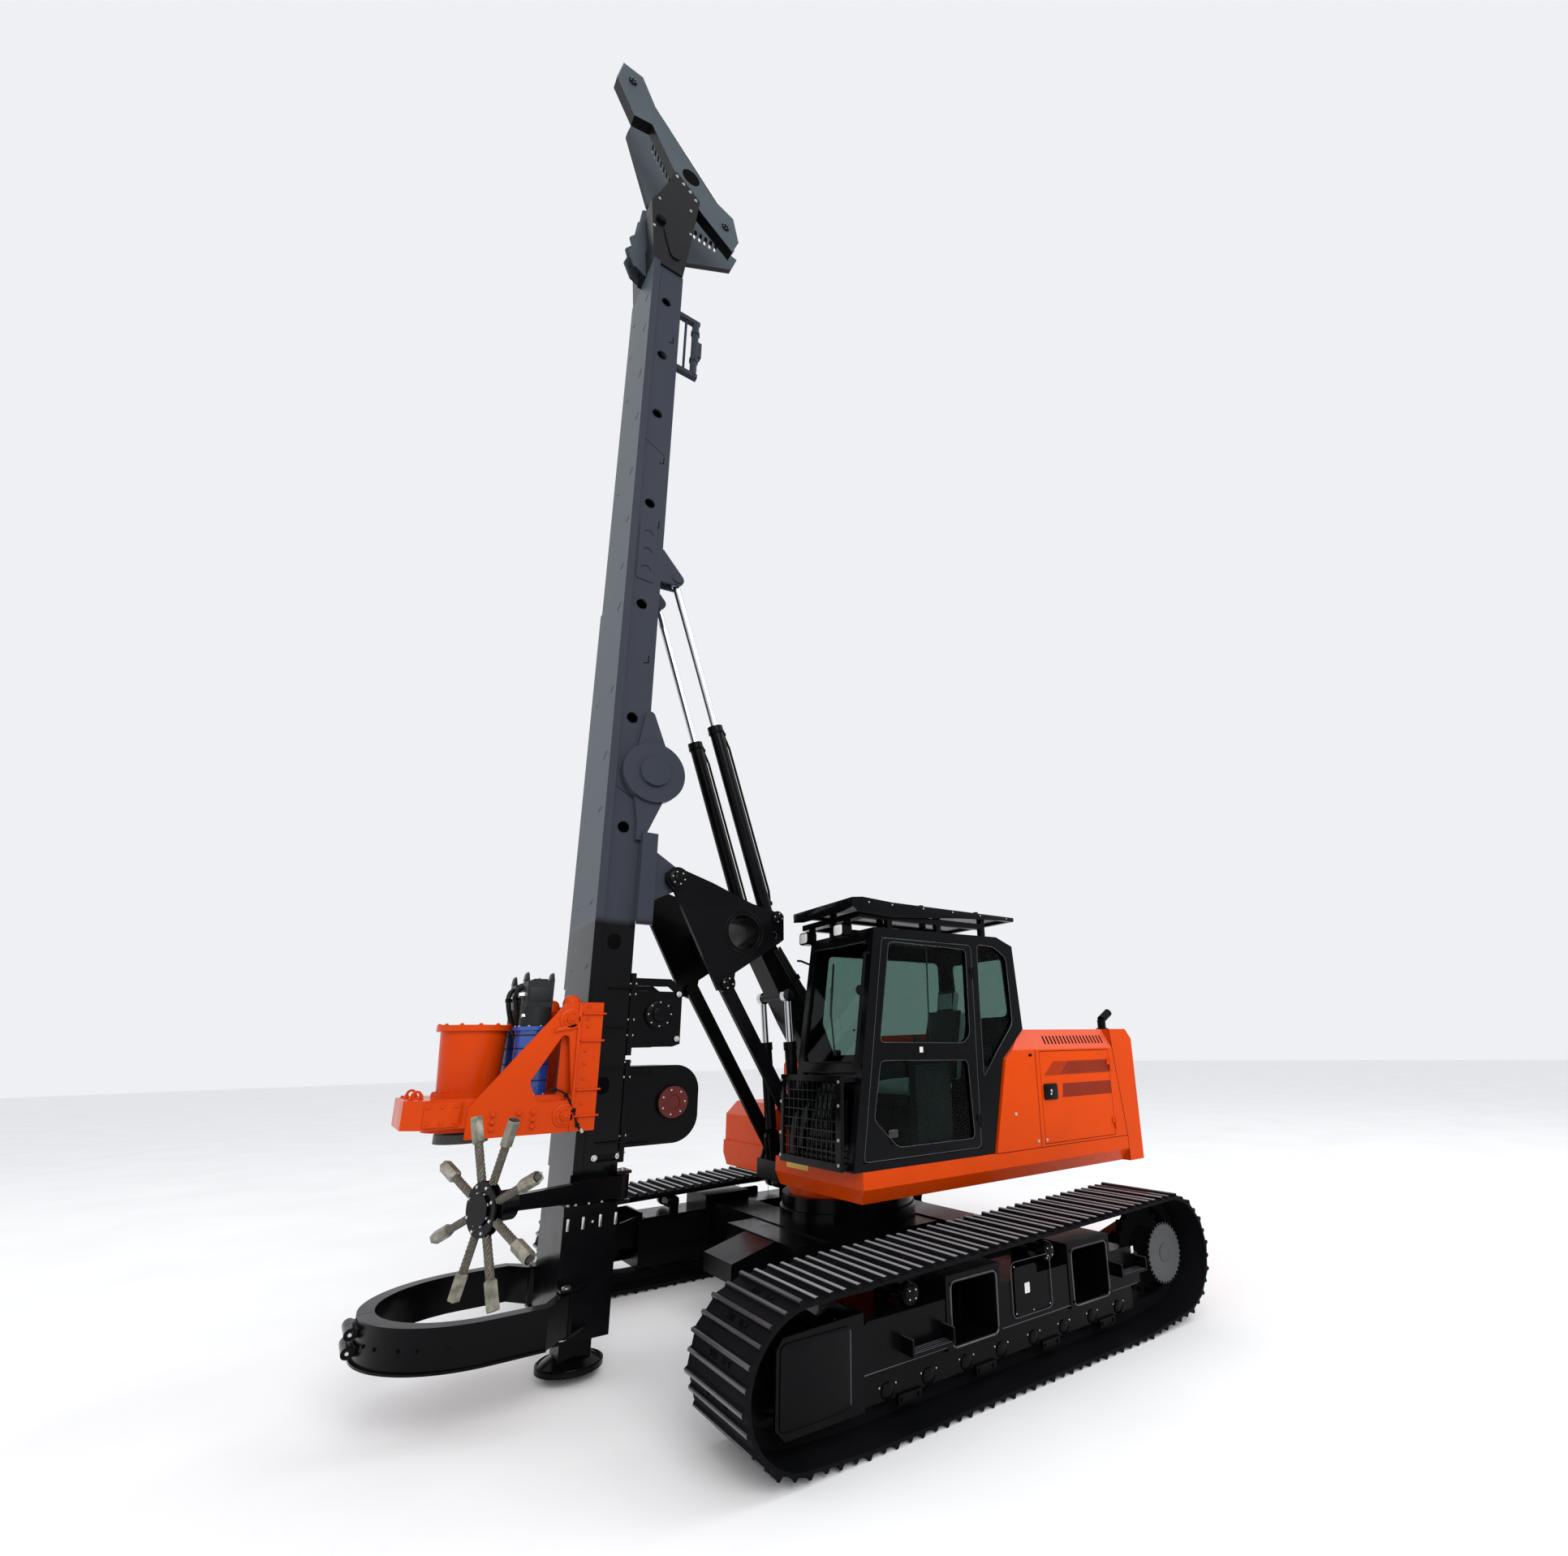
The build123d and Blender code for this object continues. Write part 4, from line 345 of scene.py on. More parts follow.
class Forms:
    """Closed forms gathered in one mesh, which becomes one piece."""

    def __init__(self):
        self.mesh = bmesh.new()

    def rings(self, rings, closed=False):
        """Skins a row of rings of points, with a cap at each end unless the row is closed."""
        loops = [[self.mesh.verts.new(point) for point in ring] for ring in rings]
        count = len(loops[0])
        for low, high in zip(loops, loops[1:] + loops[:1] if closed else loops[1:]):
            for index in range(count):
                after = (index + 1) % count
                self.mesh.faces.new((low[index], low[after], high[after], high[index]))
        if not closed:
            self.mesh.faces.new(list(reversed(loops[0])))
            self.mesh.faces.new(loops[-1])

    def turned(self, place, axis, profile, sides=24, turn=0.0):
        """A turned form from (radius, height) pairs along its axis."""
        out, across, up = crossing(axis)
        turns = [2 * pi * index / sides + turn for index in range(sides)]
        self.rings([[at(*place) + (out * height + (across * cos(angle) + up * sin(angle)) * r) / 1000
                     for angle in turns] for r, height in profile])

    def bolt(self, place, axis, r=12.0, washer=True):
        start = 0.0
        if washer:
            self.turned(place, axis, ((r * 1.45, -1), (r * 1.45, r * 0.22)), 14)
            start = r * 0.22
        self.turned(place, axis, ((r, start - 1), (r, r * 0.85), (r * 0.82, r * 1.05)), 6, random.random())

    def side_bolts(self, side, y, places, r=12.0, washer=True):
        """Bolts on a face of one side, at places in side view."""
        for x, z in places:
            self.bolt((x, side * y, z), side, r, washer)

    def bolt_ring(self, place, axis, ring_r, count, r=12.0, turn=0.0):
        across, up = crossing(axis)[1:]
        for index in range(count):
            angle = 2 * pi * index / count + turn
            step = (across * cos(angle) + up * sin(angle)) * ring_r
            self.bolt((place[0] + step.x, place[1] + step.y, place[2] + step.z), axis, r, False)

    def bar(self, points, r, sides=10, closed=False):
        """A round bar through points."""
        path = [at(*point) for point in points]
        rings = []
        frame_up = None
        count = len(path)
        for index, point in enumerate(path):
            before = path[index - 1] if index or closed else path[index]
            after = path[(index + 1) % count] if index < count - 1 or closed else path[index]
            along = (after - before).normalized()
            if frame_up is None:
                frame_up = along.orthogonal().normalized()
            frame_up = (frame_up - along * frame_up.dot(along)).normalized()
            other = along.cross(frame_up)
            rings.append([point + (frame_up * cos(2 * pi * k / sides)
                                   + other * sin(2 * pi * k / sides)) * r / 1000 for k in range(sides)])
        self.rings(rings, closed)

    def plate(self, plane, points, low, high, bevel=0.0):
        """A flat outline made solid from low to high: plane xz, yz or xy."""
        def place(point, depth):
            a, b = point
            return {"xz": at(a, depth, b), "yz": at(depth, a, b), "xy": at(a, b, depth)}[plane]
        loops = [[self.mesh.verts.new(place(point, depth)) for point in points] for depth in (low, high)]
        faces = [self.mesh.faces.new(loops[0]), self.mesh.faces.new(list(reversed(loops[1])))]
        count = len(points)
        for index in range(count):
            after = (index + 1) % count
            faces.append(self.mesh.faces.new((loops[0][index], loops[1][index], loops[1][after], loops[0][after])))
        bmesh.ops.recalc_face_normals(self.mesh, faces=faces)
        if bevel:
            edges = list(dict.fromkeys(edge for face in faces for edge in face.edges))
            bmesh.ops.bevel(self.mesh, geom=edges, offset=bevel / 1000, segments=2, affect="EDGES", profile=0.5)

    def side(self, side, points, near, far, bevel=0.0):
        """An outline in side view made solid between two distances from the middle, on one side."""
        self.plate("xz", points, *sorted((side * near, side * far)), bevel)

    def block(self, x0, x1, y0, y1, z0, z1, bevel=2.0):
        self.plate("xy", box(x0, x1, y0, y1), z0, z1, bevel)

    def done(self, name, material, body):
        bmesh.ops.recalc_face_normals(self.mesh, faces=self.mesh.faces[:])
        obj = new_object(name, self.mesh, material)
        obj.data.set_sharp_from_angle(angle=radians(32))
        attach(obj, body)
        return obj


def forms(count):
    return [Forms() for _ in range(count)]


def on_circle(x, z, r, angle):
    return x + r * cos(angle), z + r * sin(angle)


def circle(x, z, r, sides=28):
    return [on_circle(x, z, r, 2 * pi * k / sides) for k in range(sides)]


def box(x0, x1, z0, z1):
    return (x0, z0), (x1, z0), (x1, z1), (x0, z1)


def rounded(x0, x1, z0, z1, r, steps=4):
    """A rectangle with rounded corners as a list of points."""
    corners = ((x1 - r, z1 - r, 0), (x0 + r, z1 - r, 90), (x0 + r, z0 + r, 180), (x1 - r, z0 + r, 270))
    return [on_circle(x, z, r, radians(start + 90 * step / steps))
            for x, z, start in corners for step in range(steps + 1)]


def cornered(points, r, steps=4):
    """An outline in side view with each corner rounded."""
    out = []
    for index, corner in enumerate(points):
        before, after = Vector(points[index - 1]), Vector(points[(index + 1) % len(points)])
        corner = Vector(corner)
        start = corner + (before - corner).normalized() * r
        end = corner + (after - corner).normalized() * r
        for step in range(steps + 1):
            t = step / steps
            out.append(tuple(start * (1 - t) ** 2 + corner * 2 * t * (1 - t) + end * t ** 2))
    return out


def on_side(points, y):
    """A side view's points, all at one y."""
    return [(x, y, z) for x, z in points]


def spots(origin, along, out, steps):
    """Side-view points from distances along and out."""
    return [(origin[0] + along[0] * a + out[0] * b, origin[1] + along[1] * a + out[1] * b) for a, b in steps]


def smooth_path(points, steps):
    """Points along a curve that passes through the given ones."""
    out = []
    count = len(points)
    for index in range(count - 1):
        p0, p1, p2, p3 = (Vector(points[max(0, min(count - 1, index + k))]) for k in (-1, 0, 1, 2))
        for step in range(steps):
            t = step / steps
            out.append(tuple(0.5 * ((2 * p1) + (p2 - p0) * t + (2 * p0 - 5 * p1 + 4 * p2 - p3) * t * t
                                    + (3 * p1 - p0 - 3 * p2 + p3) * t ** 3)))
    out.append(tuple(points[-1]))
    return out


# Tracks

SPROCKET = (-1710.0, 495.0)
WRAPS = ((*SPROCKET, 425.0), (1745.0, 440.0, 390.0), (-1250.0, 175.0, 150.0), (1380.0, 175.0, 150.0))
TRACK_Y, SHOE_HALF_Y = 1870.0, 370.0
BELT_IN, BELT_OUT = TRACK_Y - SHOE_HALF_Y, TRACK_Y + SHOE_HALF_Y
GROUSER, TALL_CREST, LOW_CREST, CREST_TO_FOOT = 25.0, 16.8, 14.9, 80.1
TURN_STEPS, COARSE = 1440, 8
HEADINGS = [(cos(2 * pi * k / TURN_STEPS), sin(2 * pi * k / TURN_STEPS)) for k in range(TURN_STEPS)]
SUPPORTS = [max(x * cx + z * cz + r for x, z, r in WRAPS) for cx, cz in HEADINGS]


def height_over_belt(x, z):
    """How far a point in side view stands outside the shoes' plates, and its outward heading."""
    def height(k):
        cx, cz = HEADINGS[k % TURN_STEPS]
        return x * cx + z * cz - SUPPORTS[k % TURN_STEPS]
    best = max(range(0, TURN_STEPS, COARSE), key=height)
    near = max(range(best - COARSE, best + COARSE + 1), key=height)
    return height(near), HEADINGS[near % TURN_STEPS]


def side_outline(node_name):
    """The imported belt's points on its outer side, in side view."""
    return sorted({(round(v.co.x * 1000 + ORIGIN_X, 1), round(v.co.z * 1000, 1))
                   for v in nodes[node_name].data.vertices if abs(abs(v.co.y * 1000) - BELT_OUT) < 1})


def grooves(node_name):
    """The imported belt's top run has grooves where its grousers belong.

    Gives each one's middle, heading along, heading out, and whether it is wide.
    """
    floor = [point for point in side_outline(node_name)
             if point[1] > 800 and -1705 < point[0] < 1740 and height_over_belt(*point)[0] < -17]
    found = []
    for a, b in zip(floor, floor[1:]):
        reach = dist(a, b)
        if 16 < reach < 24:
            tx, tz = (b[0] - a[0]) / reach, (b[1] - a[1]) / reach
            middle = (a[0] + b[0]) / 2 - tz * 18, (a[1] + b[1]) / 2 + tx * 18
            found.append((middle, (tx, tz), (-tz, tx), reach > 20))
    return found


def crests(node_name):
    """Each grouser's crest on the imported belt's side outline: two ends, outward heading, heading along the shoe.

    The heading along is None for the lower of a shoe's two grousers.
    """
    points = side_outline(node_name)
    found = []
    for index, a in enumerate(points):
        for b in points[index + 1:]:
            if b[0] - a[0] > TALL_CREST + 1:
                break
            reach = dist(a, b)
            tall = abs(reach - TALL_CREST) < 0.5
            if not tall and abs(reach - LOW_CREST) > 0.5:
                continue
            mx, mz = (a[0] + b[0]) / 2, (a[1] + b[1]) / 2
            height, heading = height_over_belt(mx, mz)
            if height < 12:
                continue
            tx, tz = (b[0] - a[0]) / reach, (b[1] - a[1]) / reach
            nx, nz = -tz, tx
            if nx * heading[0] + nz * heading[1] < 0:
                nx, nz = -nx, -nz
            along = None
            for way in (1, -1) if tall else ():
                foot = spots((mx, mz), (way * tx, way * tz), (nx, nz), ((CREST_TO_FOOT, -GROUSER),))[0]
                if min(dist(foot, point) for point in points) < 2:
                    along = (way * tx, way * tz)
            found.append((a, b, (nx, nz), along))
    return found


def make_shoes(name, side, body):
    """The top run's grousers, a strip of painted highlight along each crest, and the shoes' bolts and holes."""
    highlit, bolts, holes, grousers, wrapped = forms(5)
    found = [crest + (wrapped,) for crest in crests(f"track_{name}")]
    for middle, along, out, tall in grooves(f"track_{name}"):
        high, half = (GROUSER, TALL_CREST / 2) if tall else (GROUSER * 0.8, LOW_CREST / 2)
        profile = spots(middle, along, out,
                        ((-8, -17.5), (-18.4, 0), (-half, high), (half, high), (18.4, 0), (8, -17.5)))
        grousers.side(side, profile, BELT_IN, BELT_OUT)
        found.append((profile[2], profile[3], out, along if tall else None, highlit))
    grousers.done(f"top_grousers_{name}", TRACK, body)
    for a, b, out, along, strips in found:
        proud = 0.6 if out[1] > -0.9 else 0.0
        reach = dist(a, b)
        between = (b[0] - a[0]) / reach, (b[1] - a[1]) / reach
        wide, deep = (2.9, 4) if strips is highlit else (4.4, 7)
        ends = ((-wide, -deep), (-0.8, proud)), ((wide, -deep), (0.8, proud))
        (a_low, a_high), (b_low, b_high) = (spots(end, between, out, steps) for end, steps in zip((a, b), ends))
        strips.side(side, (a_low, b_low, b_high, a_high), BELT_IN + 4, BELT_OUT - 4)
        if not along:
            continue
        middle = (a[0] + b[0]) / 2, (a[1] + b[1]) / 2
        # near-black plates in the shoes' holes: painted shade
        hole = spots(middle, along, out, ((34, -27.5), (64, -27.5), (64, -23.5), (34, -23.5)))
        for y in (TRACK_Y - 58, TRACK_Y + 58):
            holes.side(side, hole, y - 26, y + 26)
        x, z = spots(middle, along, out, ((49, -24.5),))[0]
        for y in (TRACK_Y - 112, TRACK_Y + 112):
            bolts.bolt((x, side * y, z), (out[0], 0, out[1]), 13, False)
    highlit.done(f"grouser_highlights_{name}", CREST_HIGHLIGHT, body)
    wrapped.done(f"grouser_edge_highlights_{name}", EDGE_HIGHLIGHT, body)
    holes.done(f"shoe_hole_shade_{name}", DARK, body)
    bolts.done(f"shoe_bolts_{name}", TRACK, body)


FRAME_Y = 2104.0
STEP_EDGES = ((700, 1040, 485), (-1330, -1010, 540))
HATCH_BOLTS = ((-292, 404), (-121, 398), (50, 404), (-292, 688), (50, 688))


def make_track_frame(name, side, body):
    black, bright, disc, edge, plates = forms(5)
    face = TRACK_Y + 244
    teeth = [on_circle(*SPROCKET, r, 2 * pi * (tooth + share) / 36) for tooth in range(36)
             for share, r in ((0.0, 208), (0.3, 208), (0.4, 224), (0.6, 224), (0.7, 208))]
    disc.side(side, teeth, face - 1, face + 6)
    disc.turned((SPROCKET[0], side * (face + 5), SPROCKET[1]), side, ((70, 0), (70, 5), (62, 8)), 40)
    disc.done(f"sprocket_face_{name}", GREY, body)
    black.side(side, rounded(1415, 1878, 205, 622, 40), FRAME_Y - 1, FRAME_Y + 9, 4)
    # pale lines of painted highlight on the hatch rims, the frame's edges and the steps
    for low, high in ((235, 625), (-960, -570)):
        edge.bar(on_side(rounded(low - 12, high + 12, 328, 702, 40), side * 2109), 6, 8, True)
    edge.bar(on_side(rounded(-320, 78, 376, 716, 36), side * 2110), 3, 6, True)
    edge.bar(on_side(((1420, 230), (1420, 600)), side * (FRAME_Y + 5)), 5, 8)
    for x0, x1 in ((-1330, -975), (-555, 215), (645, 1340)):
        edge.bar(on_side(((x0, 341), (x1, 341)), side * 2100), 4, 6)
    for x0, x1, z in STEP_EDGES:
        for x in (x0 + 7, x1 - 7):
            edge.bar(((x, side * 2101, z), (x, side * 2208, z)), 5, 6)
        for y in (2125, 2150, 2175, 2198):
            edge.bar(on_side(((x0 + 16, z - 75), (x1 - 16, z - 75)), side * y), 3, 6)
    rollers = [-1120 + index * 320 for index in range(8)]
    for x in rollers:
        black.turned((x, side * 2054, 205), side, ((46, 0), (46, 9), (38, 14), (14, 15)))
        bright.side_bolts(side, 2055, ((x - 62, 236), (x + 62, 236)), 6, False)
    edge.done(f"frame_edge_highlights_{name}", EDGE_HIGHLIGHT, body)
    bright.side_bolts(side, 2110, HATCH_BOLTS, 5, False)
    for x, z in ((950, 690), (-330, 724)):
        black.turned((x, side * 2094, z), side, ((52, 0), (52, 10), (40, 18), (12, 20)), 28)
        bright.bolt_ring((x, side * 2108, z), side, 34, 4, 6)
    for x in rollers[1::2]:
        black.side_bolts(side, 2075, ((x - 224, 142), (x - 96, 142)), 11)
    for x0, x1 in ((219, 641), (-976, -554)):
        black.side_bolts(side, 2108, [(x, z) for x in (x0, x1) for z in (360, 688)], 9)
    black.done(f"track_caps_{name}", BLACK, body)
    bright.done(f"track_bolts_{name}", ZINC, body)
    plates.side(side, rounded(-96, -46, 508, 572, 5), 2110.5, 2112)
    plates.side(side, rounded(-1322, -1290, 554, 604, 5), 2100.5, 2102)
    plates.done(f"blank_label_{name}", WHITE, body)


for name, side in SIDES:
    make_shoes(name, side, f"track_side_{name}")
    make_track_frame(name, side, f"track_side_{name}")

# Upper structure

SKIN_Y = 1400.0
REAR_OUTLINE = ((-2388, 1062), (-2382, 1062), (-2382, 1290), (-2247, 2300), (-2253, 2300), (-2388, 1292))


def make_deck():
    body = "upper_structure"
    dark, black, bright, yellow, lenses, lifting = forms(6)
    # near-black sheets inside the body behind its grilles: painted shade
    for side in BOTH:
        dark.side(side, box(-2190, -1300, 1890, 1995), 1352, 1348)
    dark.plate("xy", box(-2160, -1270, 290, 1160), 2246, 2250)
    for side in BOTH:
        dark.plate("yz", ((side * 1338, 2130), (side * 1290, 2200), (side * 1286, 2198), (side * 1334, 2128)),
                   -2190, -1270)
    yellow.plate("yz", rounded(285, 630, 1222, 1264, 6), 810.2, 812)
    yellow.done("blank_plate_skirt", YELLOW, body)
    for side in BOTH:
        bright.side_bolts(side, SKIN_Y, ((-828, 1585), (-1090, 1345), (-1200, 1345)), 10)
        # dark lines where the panels meet, and painted shade in the latch's slot
        for outline in (box(-1133, -1127, 1292, 2119), REAR_OUTLINE, box(-2380, -560, 1287, 1292),
                        rounded(-1085, -1040, 2060, 2085, 10)):
            dark.side(side, outline, SKIN_Y + 0.4, SKIN_Y - 2)
        # slanted near-black plates in the hood chamfer's slots: painted shade
        for index in range(18):
            x = -2170 + index * 50
            dark.plate("yz", [(side * y, z) for y, z in ((1375, 2167), (1338, 2240), (1334, 2238), (1371, 2165))],
                       x, x + 22)
    # tank cap, handles and hinges on the far side, from the machine's type
    black.turned((-820, -930, 2080), "z", ((70, -2), (70, 20), (60, 34), (20, 36)))
    for x in (-300, -950):
        black.bar(((x, -760, 2080), (x, -760, 2150), (x, -1120, 2150), (x, -1120, 2080)), 11)
    for x in (0, 420):
        black.block(x - 30, x + 30, -1406, -1398, 1560, 1600)
    black.bar(((180, -1400, 1500), (180, -1440, 1500), (300, -1440, 1500), (300, -1400, 1500)), 9)
    black.turned((-2440, 1180, 2300), "z", ((62, -1), (62, 14), (48, 16)), 28)
    dark.done("grille_shade_and_joints", DARK, body)
    black.done("deck_fittings", BLACK, body)
    bright.done("deck_bolts", ZINC, body)
    for y in (-1060, 1060):
        lenses.plate("yz", rounded(y - 60, y + 60, 1500, 1570, 12), -2750, -2743, 2)
    lenses.done("rear_lenses", RED_LENS, body)
    for y in (-500, 500):
        lifting.bar([(a, b, 2301) for a, b in circle(-2430, y, 62, 24)], 4, 8, True)
    lifting.done("lifting_rims", ORANGE, body)


make_deck()

# The engine doors' two grilles: the upper one is barred and leans, the lower one is plain mesh
UPPER_GRILLE, UPPER_LEAN = (-2195, -1238, 1888, 2012), 1.15
LOWER_GRILLE, LOWER_LEAN = (-2195, -1473, 1690, 1812), 0.1
BAR_PITCH = 26


def make_engine_doors():
    for name, side in SIDES:
        body = f"engine_door_{name}"
        latch, steel, grille, bars, slot_shade = forms(5)
        latch.side(side, rounded(-1386, -1204, 1680, 1818, 18), 1407, 1415, 2)
        steel.turned((-1296, side * 1414, 1756), side, ((13, 0), (13, 5), (10, 7)), 20)
        steel.turned((-1290, side * 1414, 1728), side, ((10, 0), (10, 5), (7, 7)), 20)
        latch.done(f"engine_latch_{name}", CAB, body)
        steel.done(f"latch_lock_{name}", ZINC, body)
        # flat plates whose darkened orange is the painted shade of the recessed grilles
        for (x0, x1, z0, z1), share in ((UPPER_GRILLE, UPPER_LEAN), (LOWER_GRILLE, LOWER_LEAN)):
            lean = (z1 - z0) * share
            grille.side(side, ((x0, z0), (x1 + 8, z0), (x1 + 8 - lean, z1), (x0, z1)), SKIN_Y - 1, SKIN_Y + 0.5)
        grille.done(f"door_grille_{name}", GRILLE, body)
        x0, x1, z0, z1 = UPPER_GRILLE
        lean = (z1 - z0) * UPPER_LEAN
        for index in range(8):
            x = x1 - 14 - index * BAR_PITCH
            bars.side(side, ((x, z0), (x + 9, z0), (x + 9 - lean, z1), (x - lean, z1)), SKIN_Y, SKIN_Y + 2)
        for index in range(int((x1 - x0 - 220) / BAR_PITCH)):
            x = x0 + 14 + index * BAR_PITCH
            for z in (z0, z1 - 10):
                bars.side(side, ((x, z), (x + 9, z), (x + 6, z + 10), (x - 3, z + 10)), SKIN_Y, SKIN_Y + 2)
        bars.done(f"grille_bars_{name}", ORANGE, body)
        # near-black sheets behind the grilles and slanted plates in their slots: painted shade
        for outline in (box(-2180, -1250, 1890, 2000), box(-2180, -1460, 1690, 1800)):
            slot_shade.side(side, outline, 1357, 1353)
        for x0, x1, z0, z1 in ((-2200, -1290, 1905, 1985), (-2200, -1500, 1705, 1785)):
            for index in range(int((x1 - x0 - 80) / 50)):
                x = x0 + 50 + index * 50
                slot_shade.side(side, ((x, z0), (x + 22, z0), (x + 68, z1), (x + 46, z1)), 1397, 1392)
        slot_shade.done(f"door_slot_shade_{name}", DARK, body)


make_engine_doors()

# Cab

ROOF_SKIRT = ((864, 3338), (451, 3332), (-1000, 3326), (-1000, 3296), (-300, 3262), (451, 3205), (800, 3222),
              (864, 3270))
ROOF_FRONT = ((440, 3338), (1370, 3338), (1370, 3262), (1200, 3240), (610, 3240), (440, 3262))
# outline in side view and corner radius, all on the cab's outer face
CAB_FACE_Y = 1380
UPPER_PANE = ((-265, 2190), (-345, 2250), (-345, 2985), (513, 3005), (619, 2205)), 46
LOWER_PANE = ((-345, 1430), (-305, 2050), (616, 2070), (688, 1640), (463, 1430)), 46
DOOR_EDGE = ((-412, 1353), (-412, 3027), (584, 3027), (787, 1353)), 40
QUARTER_PANE = ((-485, 1900), (-485, 3045), (-700, 3030), (-850, 2940), (-880, 2350), (-660, 2110)), 50


def make_cab():
    body = "upper_structure"
    black, lens, bright, white, handle, door_highlights, quarter, inside = forms(8)
    for y in (604, 1150):
        black.plate("yz", rounded(y - 72, y + 72, 3048, 3152, 26), 840, 858, 3)
        lens.plate("yz", rounded(y - 60, y + 60, 3058, 3142, 20), 852, 861, 3)
    lens.done("work_lamp_lenses", LAMP, body)
    for y in (500, 740, 980, 1220, 1330):
        black.bolt((864, y, 3318), "x", 8)
    bright.side_bolts(1, 1370, [(x, 3312) for x in (-900, -560, -220, 120, 460, 700)], 8)
    for y in (440, 1300):
        for z in (1345, 1515, 1755, 1925):
            bright.bolt((960, y, z), "x", 9)
    black.plate("xz", ROOF_SKIRT, 1369, 1374, 1)
    black.plate("yz", ROOF_FRONT, 860, 865, 1)
    # round knob on a stalk beside the windscreen
    black.bar(((842, 1340, 2300), (850, 1362, 2300)), 8)
    black.turned((797, 1352, 2603), 1, ((14, -20), (14, 0), (34, 4), (40, 14), (34, 24), (12, 27)))
    # wiper
    black.turned((775, 1010, 2130), "x", ((26, -20), (26, 22), (18, 28)), 18)
    black.bar(((800, 1010, 2130), (765, 900, 2450), (735, 860, 2660)), 7, 8)
    black.bar(((742, 860, 2420), (712, 862, 2860)), 9, 8)
    # cross bars of the windscreen, which leans back as it rises
    for z in (2060, 3010, 1380, 1980):
        x = 882 - 220 * (z - 1290) / 1820
        black.bar(((x, 505, z), (x, 1295, z)), 7, 8)
    # mirror stay on the far front post, from the machine's type
    black.bar(((690, 430, 2900), (760, 405, 2930), (800, 405, 2930)), 10, 8)
    white.plate("xz", rounded(186, 222, 2122, 2166, 4), 1380.4, 1382)
    white.done("blank_label_cab", WHITE, "cab_door")
    black.done("cab_fittings", CAB, body)
    bright.done("cab_bolts", ZINC, body)
    handle.plate("xz", rounded(452, 540, 1500, 1560, 14), 1357, 1366, 3)
    handle.bar(((470, 1364, 1545), (470, 1374, 1540), (525, 1374, 1540), (525, 1364, 1545)), 6)
    handle.done("door_handle", TRIM, "cab_door")
    # pale lines of painted highlight round the door, its panes, the upper pane's split and the quarter pane
    for points, r in (UPPER_PANE, LOWER_PANE, DOOR_EDGE):
        door_highlights.bar(on_side(cornered(points, r), CAB_FACE_Y), 3, 6, True)
    door_highlights.block(79, 91, 1344, 1350, 2206, 2998, 1)
    door_highlights.done("door_edge_highlights", EDGE_HIGHLIGHT, "cab_door")
    quarter.bar(on_side(cornered(*QUARTER_PANE), CAB_FACE_Y), 3, 6, True)
    quarter.done("quarter_edge_highlights", EDGE_HIGHLIGHT, body)
    for y in (590, 1225):
        inside.turned((120, y, 2180), "z", ((20, -6), (30, 10), (34, 40), (28, 66), (10, 74)), 20)
        inside.block(-190, 170, y - 55, y + 55, 2020, 2050, 12)
    inside.done("lever_knobs", TRIM, body)


make_cab()


def cushion(name, x0, x1, y0, y1, z0, z1, crown=26.0, cells=12):
    """A crowned pad: a rounded block whose sides pull in between corners, with sewn channels."""
    mesh = bmesh.new()
    grid = {}
    top = 3
    for a in range(cells + 1):
        for b in range(cells + 1):
            for c in range(top + 1):
                u, v, w = a / cells * 2 - 1, b / cells * 2 - 1, c / top * 2 - 1
                edge = 1 - 0.10 * w ** 2
                x = (x0 + x1) / 2 + u * (x1 - x0) / 2 * edge * (1 - 0.035 * (1 - v * v))
                y = (y0 + y1) / 2 + v * (y1 - y0) / 2 * edge * (1 - 0.035 * (1 - u * u))
                z = (z0 + z1) / 2 + w * (z1 - z0) / 2
                if c == top:
                    channel = 9 * (exp(-((v - 0.55) / 0.06) ** 2) + exp(-((v + 0.55) / 0.06) ** 2))
                    z += crown * (1 - u ** 4) * (1 - v ** 4) - crown * 0.6 - channel
                grid[a, b, c] = mesh.verts.new(at(x, y, z))
    for a in range(cells):
        for b in range(cells):
            for c in (0, top):
                mesh.faces.new((grid[a, b, c], grid[a + 1, b, c], grid[a + 1, b + 1, c], grid[a, b + 1, c]))
    for a in range(cells):
        for c in range(top):
            for b in (0, cells):
                mesh.faces.new((grid[a, b, c], grid[a + 1, b, c], grid[a + 1, b, c + 1], grid[a, b, c + 1]))
                mesh.faces.new((grid[b, a, c], grid[b, a + 1, c], grid[b, a + 1, c + 1], grid[b, a, c + 1]))
    loose = [vert for vert in mesh.verts if not vert.link_faces]
    bmesh.ops.delete(mesh, geom=loose, context="VERTS")
    bmesh.ops.recalc_face_normals(mesh, faces=mesh.faces[:])
    obj = new_object(name, mesh, SEAT)
    modifier = obj.modifiers.new("soft", "SUBSURF")
    modifier.levels = modifier.render_levels = 2
    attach(obj, "upper_structure")
    return obj


